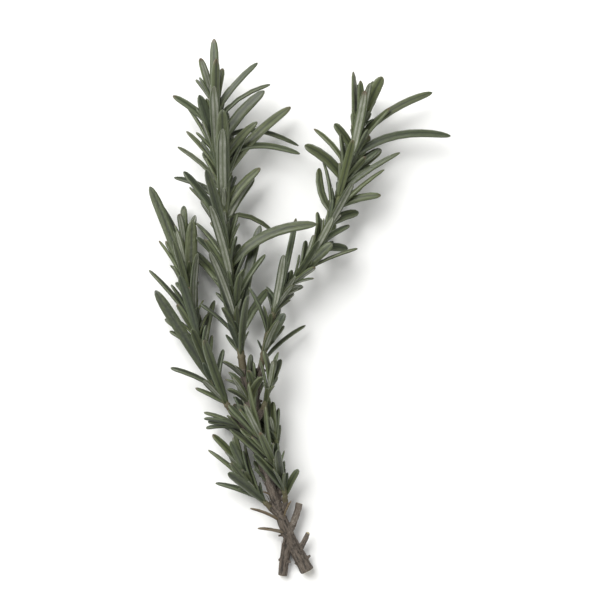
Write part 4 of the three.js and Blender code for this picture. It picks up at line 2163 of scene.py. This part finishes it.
@dataclass
class WoodyStem:
    """The trunk, its branches, the feet of the spurs and the dried twigs, grown together."""

    sides: int = 14
    voxel: float = 0.2
    ridge: float = 0.2
    fissure_pitch: float = 1.5
    finer_pitch: float = 2.3
    finer_share: float = 0.5
    even_ridge: float = 0.5
    ring_length: float = 2.5
    section_jitter: float = 0.06
    radius_jitter: float = 0.07
    squash_jitter: float = 0.05
    smoothing: float = 0.5
    smoothing_rounds: int = 2
    grain_across: float = 1.3
    grain_along: float = 0.22
    station_step: float = 0.5
    limb_offset: float = 9.0
    scars: ScarRule = ScarRule()
    cut: CutRule = CutRule()
    weathered: StemLine = DRIED_TWIGS[1]
    paleness: float = 1.5

    def build(self, bark: Material) -> Piece:
        """Builds the wood as one piece.

        Args:
            bark: the bark's material.

        Returns:
            The wood, which stands for its solid.
        """
        lines = [*WOOD, *self._scars()]
        limbs = [self._limb(index, line) for index, line in enumerate(lines)]
        wood = Bench.join("woody_stem_bark", limbs)
        Bench.apply(wood, "REMESH", mode="VOXEL", voxel_size=self.voxel * MM, use_smooth_shade=True)
        Bench.apply(wood, "SMOOTH", factor=self.smoothing, iterations=self.smoothing_rounds)
        self._carve_bark(wood)
        wood.data.materials.append(bark)
        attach(wood, ROOT_BODY)
        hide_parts("woody_stem")
        return wood

    def _scars(self) -> list[StemLine]:
        """Plans the short broken stalks of fallen leaves, in opposite pairs up the bare wood.

        Returns:
            Their middle lines.
        """
        rule = self.scars
        draws = Draws(SCAR_DRAWS)
        scars: list[StemLine] = []
        for line in (TRUNK, RIGHT_BRANCH, LEFT_BRANCH, *DRIED_TWIGS):
            length = line.length()
            turn = RULE.quarter_turn * draws.next()
            place = rule.first * rule.spacing
            while place < length - rule.bare_end:
                station = line.spans * place / length
                forward = line.direction_at(station)
                axes = Axes.of(forward, UP)
                radius = line.radius_at(station)
                for side in (0, 180):
                    angle = math.radians(side + turn + rule.swing * draws.swing())
                    away = axes.across * math.cos(angle) + axes.out * math.sin(angle)
                    middle = line.point_at(station)
                    longer = rule.shortest + rule.length_spread * draws.next()
                    reach = radius + rule.length * longer
                    points = [
                        middle + away * (reach * share) + forward * (rule.forward * share)
                        for share in rule.points
                    ]
                    if points[-1].z > rule.radius:
                        corners = tuple((p.x, p.y, p.z) for p in points)
                        scars.append(StemLine(corners, rule.radius, rule.radius * rule.taper))
                turn += RULE.quarter_turn
                place += rule.spacing * (rule.least_gap + rule.gap_spread * draws.next())
        return scars

    def _limb(self, index: int, line: StemLine) -> Piece:
        """Models one limb straight, knotted and tapering, and lays it along its line.

        Args:
            index: the limb's number.
            line: its middle line.

        Returns:
            The limb.
        """
        rings = max(4, round(line.length() / self.ring_length))
        draws = Draws(LIMB_DRAWS + index)
        section = []
        for k in range(self.sides):
            angle = 2 * math.pi * k / self.sides
            reach = line.start_radius * (1 + self.section_jitter * draws.swing())
            section.append((math.cos(angle) * reach * MM, math.sin(angle) * reach * MM))
        limb = Bench.start_section(f"limb_{index}", section)
        size = line.start_radius
        for ring in range(1, rings + 1):
            share = ring / rings
            wanted = line.radius_at(share * line.spans)
            if ring < rings:
                wanted *= 1 + self.radius_jitter * draws.swing()
            squash = 1 + self.squash_jitter * draws.swing()
            Bench.extrude(share * MM, MM / rings, wanted / size * squash, wanted / size / squash)
            size = wanted
        Bench.finish_solid()
        lay_along(limb, line.frame_at)
        return limb

    def _carve_bark(self, wood: Piece) -> None:
        """Carves fissures along the grain, and marks the grain, the ridges and the cut ends.

        Args:
            wood: the wood, in one piece.
        """
        stations, tree = self._stations()
        grain: list[float] = []
        cuts: list[float] = []
        ridges: list[float] = []
        places: list[float] = []
        for vertex in wood.data.vertices:
            spot = vertex.co / MM
            near = stations[tree.find(spot)[1]]
            way = spot - near.middle
            across = way.dot(near.across) * self.grain_across
            out = way.dot(near.out) * self.grain_across
            along = (near.done + way.dot(near.forward)) * self.grain_along + near.offset
            coordinates = Vector((across, out, along))
            cut = self._cut_depth(spot, vertex.normal)
            height = noise.noise(coordinates * self.fissure_pitch)
            finer = noise.noise(coordinates * self.fissure_pitch * self.finer_pitch)
            height += self.finer_share * finer
            push = 0.0 if cut > 0 else self.ridge * height
            place = (spot + vertex.normal * push) * MM
            places.extend((place.x, place.y, max(0.0, place.z)))
            grain.extend(coordinates)
            ridges.append(self.even_ridge + height + near.pale)
            cuts.append(cut)
        wood.data.vertices.foreach_set("co", places)
        wood.data.update()
        Bench.carry(wood, Reading.GRAIN, grain, 3)
        Bench.carry(wood, Reading.CUT, cuts, 1)
        Bench.carry(wood, Reading.RIDGE, ridges, 1)

    def _stations(self) -> tuple[list[WoodStation], KDTree]:
        """Lists places all along the wood, with a tree to find the nearest.

        Returns:
            The places, and the tree of their middles.
        """
        stations: list[WoodStation] = []
        for index, line in enumerate(WOOD):
            pale = self.paleness if line is self.weathered else 0.0
            steps = max(6, round(line.length() / self.station_step))
            done = 0.0
            last = line.point_at(0)
            for step in range(steps + 1):
                station = line.spans * step / steps
                point = line.point_at(station)
                done += (point - last).length()
                last = point
                forward = line.direction_at(station)
                axes = Axes.of(forward, UP)
                row = [Vector((p.x, p.y, p.z)) for p in (point, axes.across, axes.out, forward)]
                stations.append(WoodStation(*row, done, index * self.limb_offset, pale))
        tree = KDTree(len(stations))
        for index, place in enumerate(stations):
            tree.insert(place.middle, index)
        tree.balance()
        return stations, tree

    def _cut_depth(self, spot: Vector, normal: Vector) -> float:
        """Tells how far inside a cut or broken end a point lies.

        Args:
            spot: the point, in millimetres.
            normal: the way the surface faces there.

        Returns:
            From 0 off the end to 1 at its pith.
        """
        ends = [(line, line.spans, 1.0, line.end_radius) for line in DRIED_TWIGS]
        ends.append((TRUNK, 0, -1.0, TRUNK.start_radius))
        for line, station, sign, radius in ends:
            middle = line.point_at(station)
            reach = spot - Vector((middle.x, middle.y, middle.z))
            if reach.length > radius * self.cut.reach:
                continue
            forward = line.direction_at(station) * sign
            outwards = Vector((forward.x, forward.y, forward.z))
            is_shallow = reach.dot(outwards) > -self.cut.depth
            if is_shallow and normal.dot(outwards) > self.cut.facing:
                return 1.0 - self.cut.fall * min(1.0, reach.length / radius)
        return 0.0


@dataclass
class BarkStrips:
    """Thin strips of old bark that have split along the grain and lift at their ends."""

    LIMBS: ClassVar[tuple[StemLine, ...]] = (
        *(TRUNK,) * 3, DRIED_TWIGS[3], LEFT_BRANCH, DRIED_TWIGS[0]
    )

    count: int = 34
    longest: float = 8.0
    shortest_share: float = 0.45
    most_of_limb: float = 0.6
    widest: float = 0.62
    narrowest_share: float = 0.5
    widths: tuple[float, ...] = (0.3, 0.8, 1.0, 0.85, 1.0, 0.6, 0.2)
    section: tuple[Span, ...] = ((0.5, -0.5), (0.3, 0.5), (-0.36, 0.5), (-0.5, -0.5))
    thickness: float = 0.16
    thin_start: float = 0.6
    first_turn: float = -20.0
    turn_spread: float = 220.0
    drift: float = 24.0
    lift: float = 0.55
    flat_share: Span = (0.4, 0.6)
    rise: float = 5.0
    gap: float = 0.04
    grain_start: float = 50.0
    grain_jitter: float = 9.0
    grain_along: float = 0.22
    ridge: float = 0.95

    def build(self, bark: Material) -> Piece:
        """Builds the strips as one piece.

        Args:
            bark: the bark's material.

        Returns:
            The strips.
        """
        mould = self._mould()
        draws = Draws(STRIP_DRAWS)
        strips = Bench.join("bark_strips", [self._strip(mould, draws) for _ in range(self.count)])
        bpy.data.objects.remove(mould)
        strips.data.materials.append(bark)
        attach(strips, ROOT_BODY)
        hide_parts("woody_stem")
        return strips

    def _mould(self) -> Piece:
        """Models one strip straight and a unit in size, torn narrow at both ends.

        Returns:
            The strip to copy.
        """
        mould = Bench.start_section("strip_mould", [(x * MM, y * MM) for x, y in self.section])
        start = (self.widths[0], self.thin_start, 1)
        bpy.ops.transform.resize(value=start, center_override=(0, 0, 0))
        step = MM / (len(self.widths) - 1)
        depth = 1 / self.thin_start
        for index, (before, width) in enumerate(zip(self.widths, self.widths[1:]), 1):
            Bench.extrude(step * index, step, width / before, depth)
            depth = 1.0
        Bench.finish_solid()
        return mould

    def _strip(self, mould: Piece, draws: Draws) -> Piece:
        """Lays one copy of the strip along the surface of the wood.

        Args:
            mould: the straight strip.
            draws: what makes strips differ.

        Returns:
            The strip.
        """
        copy = Bench.copy_of(mould)
        choices = len(self.LIMBS)
        line = self.LIMBS[int(choices * draws.next()) % choices]
        whole = line.length()
        share = self.shortest_share + (1 - self.shortest_share) * draws.next()
        length = min(whole * self.most_of_limb, self.longest * share)
        start = (whole - length) * draws.next()
        turn = math.radians(self.first_turn + self.turn_spread * draws.next())
        drift = math.radians(self.drift * draws.swing())
        share = self.narrowest_share + (1 - self.narrowest_share) * draws.next()
        width = self.widest * share
        lifts = (self.lift * draws.next(), self.lift * draws.next())

        def frame_at(share: float) -> tuple[Place, Axes]:
            """Finds a place on the wood's surface, with the strip lifting towards its ends.

            Args:
                share: how far along the strip.

            Returns:
                The place and the axes.
            """
            station = line.spans * (start + length * share) / whole
            axes = Axes.of(line.direction_at(station), UP)
            angle = turn + drift * share
            away = axes.across * math.cos(angle) + axes.out * math.sin(angle)
            side = axes.out * math.cos(angle) - axes.across * math.sin(angle)
            below = max(0.0, self.flat_share[0] - share)
            above = max(0.0, share - self.flat_share[1])
            rise = lifts[0] * below**2 + lifts[1] * above**2
            reach = line.radius_at(station) + self.gap + self.rise * rise
            return line.point_at(station) + away * reach, Axes(side * width, away * self.thickness)

        before = lay_along(copy, frame_at)
        grain: list[float] = []
        for point in before:
            across = point.x * width + self.grain_start
            out = point.y + self.grain_jitter * draws.next()
            grain.extend((across, out, point.z * length * self.grain_along))
        Bench.carry(copy, Reading.GRAIN, grain, 3)
        Bench.carry(copy, Reading.CUT, [0.0] * len(before), 1)
        Bench.carry(copy, Reading.RIDGE, [self.ridge] * len(before), 1)
        return copy


@dataclass
class TrunkTufts:
    """Tufts of small leaves on the wood, and dried ones that still hang on below them."""

    dry_below: float = -58.0
    dried_kept: int = 2
    dried_slimness: float = 0.55

    def build(
        self, moulds: Moulds, leaf: Material, dry_leaf: Material
    ) -> list[Piece]:
        """Builds the green tufts and the dried leaves.

        Args:
            moulds: the leaves to copy, by kind.
            leaf: the green leaves' material.
            dry_leaf: the dried leaves' material.

        Returns:
            The two pieces.
        """
        leaves = [leaf_plan for wood, _ in TUFTED for leaf_plan in wood.leaves]
        fresh = [plan for plan in leaves if plan.base.y >= self.dry_below]
        dried = [plan for plan in leaves if plan.base.y < self.dry_below][:: self.dried_kept]
        pieces = []
        for name, plans, slimness, material in (
            ("trunk_leaves", fresh, 1.0, leaf),
            ("dried_leaves", dried, self.dried_slimness, dry_leaf),
        ):
            piece = Foliage(plans, len(plans), slimness=slimness).build(name, moulds)
            piece.data.materials.append(material)
            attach(piece, ROOT_BODY)
            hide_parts("woody_stem")
            pieces.append(piece)
        return pieces


@dataclass(frozen=True)
class SoftLight:
    """A square light: where it is and how wide, in metres, and its power in watts."""

    name: str
    place: Triple
    size: float
    power: float

    def build(self, target: Vector) -> None:
        """Adds the light, facing a target.

        Args:
            target: the point that it faces.
        """
        data = bpy.data.lights.new(self.name, "AREA")
        data.size = self.size
        data.energy = self.power
        light = bpy.data.objects.new(self.name, data)
        bpy.context.scene.collection.objects.link(light)
        place = Vector(self.place)
        light.location = place
        light.rotation_euler = (target - place).to_track_quat("-Z", "Y").to_euler()


@dataclass
class Studio:
    """The table, the lights and the camera."""

    table_size: float = 16.0
    azimuth: float = 0.0
    elevation: float = 82.0
    lens: float = 85.0
    margin: float = 1.1
    room_light: float = 0.32
    lights: tuple[SoftLight, ...] = (
        SoftLight("key_light", (-0.55, 0.5, 0.85), 0.95, 21.0),
        SoftLight("fill_light", (0.7, -0.4, 0.8), 1.0, 5.0),
    )

    def build(self, low: Sequence[float], high: Sequence[float]) -> None:
        """Sets up the table, the lights and the camera.

        Args:
            low: the lowest corner of the sprig's box, in metres.
            high: the highest corner.
        """
        self._table()
        self._world()
        middle = Vector([(a + b) / 2 for a, b in zip(low, high)])
        for light in self.lights:
            light.build(middle)
        self._camera(middle, high[1] - low[1])

    def _table(self) -> None:
        """Adds the table top, which isn't part of the sprig."""
        Bench.clear_selection()
        bpy.ops.mesh.primitive_plane_add(size=self.table_size)
        table = bpy.context.object
        table.name = table.data.name = "pale_table"
        table.data.materials.append(TableFinish().material())
        table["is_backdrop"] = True

    def _world(self) -> None:
        """Lights the scene softly from all round."""
        world = bpy.data.worlds.new("soft_room")
        world.use_nodes = True
        background = world.node_tree.nodes["Background"]
        background.inputs["Color"].default_value = (1.0, 1.0, 1.0, 1.0)
        background.inputs["Strength"].default_value = self.room_light
        bpy.context.scene.world = world
        bpy.context.scene.view_settings.view_transform = "Standard"

    def _camera(self, middle: Vector, extent: float) -> None:
        """Adds the camera, which looks down on the sprig and holds all of it.

        Args:
            middle: the middle of the sprig's box.
            extent: the box's size on Y.
        """
        data = bpy.data.cameras.new("camera")
        data.lens = self.lens
        camera = bpy.data.objects.new("camera", data)
        bpy.context.scene.collection.objects.link(camera)
        distance = extent * self.margin * self.lens / data.sensor_width
        azimuth, elevation = math.radians(self.azimuth), math.radians(self.elevation)
        back = Vector((-math.sin(azimuth), -math.cos(azimuth), 0)) * math.cos(elevation)
        away = back + Vector((0, 0, math.sin(elevation)))
        camera.location = middle + away * distance
        camera.rotation_euler = (-away).to_track_quat("-Z", "Y").to_euler()
        bpy.context.scene.camera = camera


def main() -> None:
    """Builds the sprig piece by piece and reports each one."""
    logging.basicConfig(level=logging.INFO, format="%(name)s: %(message)s")
    cad_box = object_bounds()
    plan_leaves()
    Studio().build(*cad_box)

    moulds = {mould.kind: mould.model() for mould in LEAF_MOULDS}
    leaf = LeafFinish().material()
    young_stem = YoungStemFinish().material()
    bark = BarkFinish().material()
    pieces = [WoodyStem().build(bark), BarkStrips().build(bark)]
    for plan in SHOOTS:
        pieces.extend(LeafyShoot(plan).build(moulds, leaf, young_stem))
        log.info("%s: %d leaves", plan.node, len(plan.leaves))
    pieces.extend(TrunkTufts().build(moulds, leaf, DRY_LEAF.material()))
    for mould in moulds.values():
        bpy.data.objects.remove(mould)
    for piece in pieces:
        log.info("%s: %d faces", piece.name, len(piece.data.polygons))


if __name__ == "__main__":
    main()
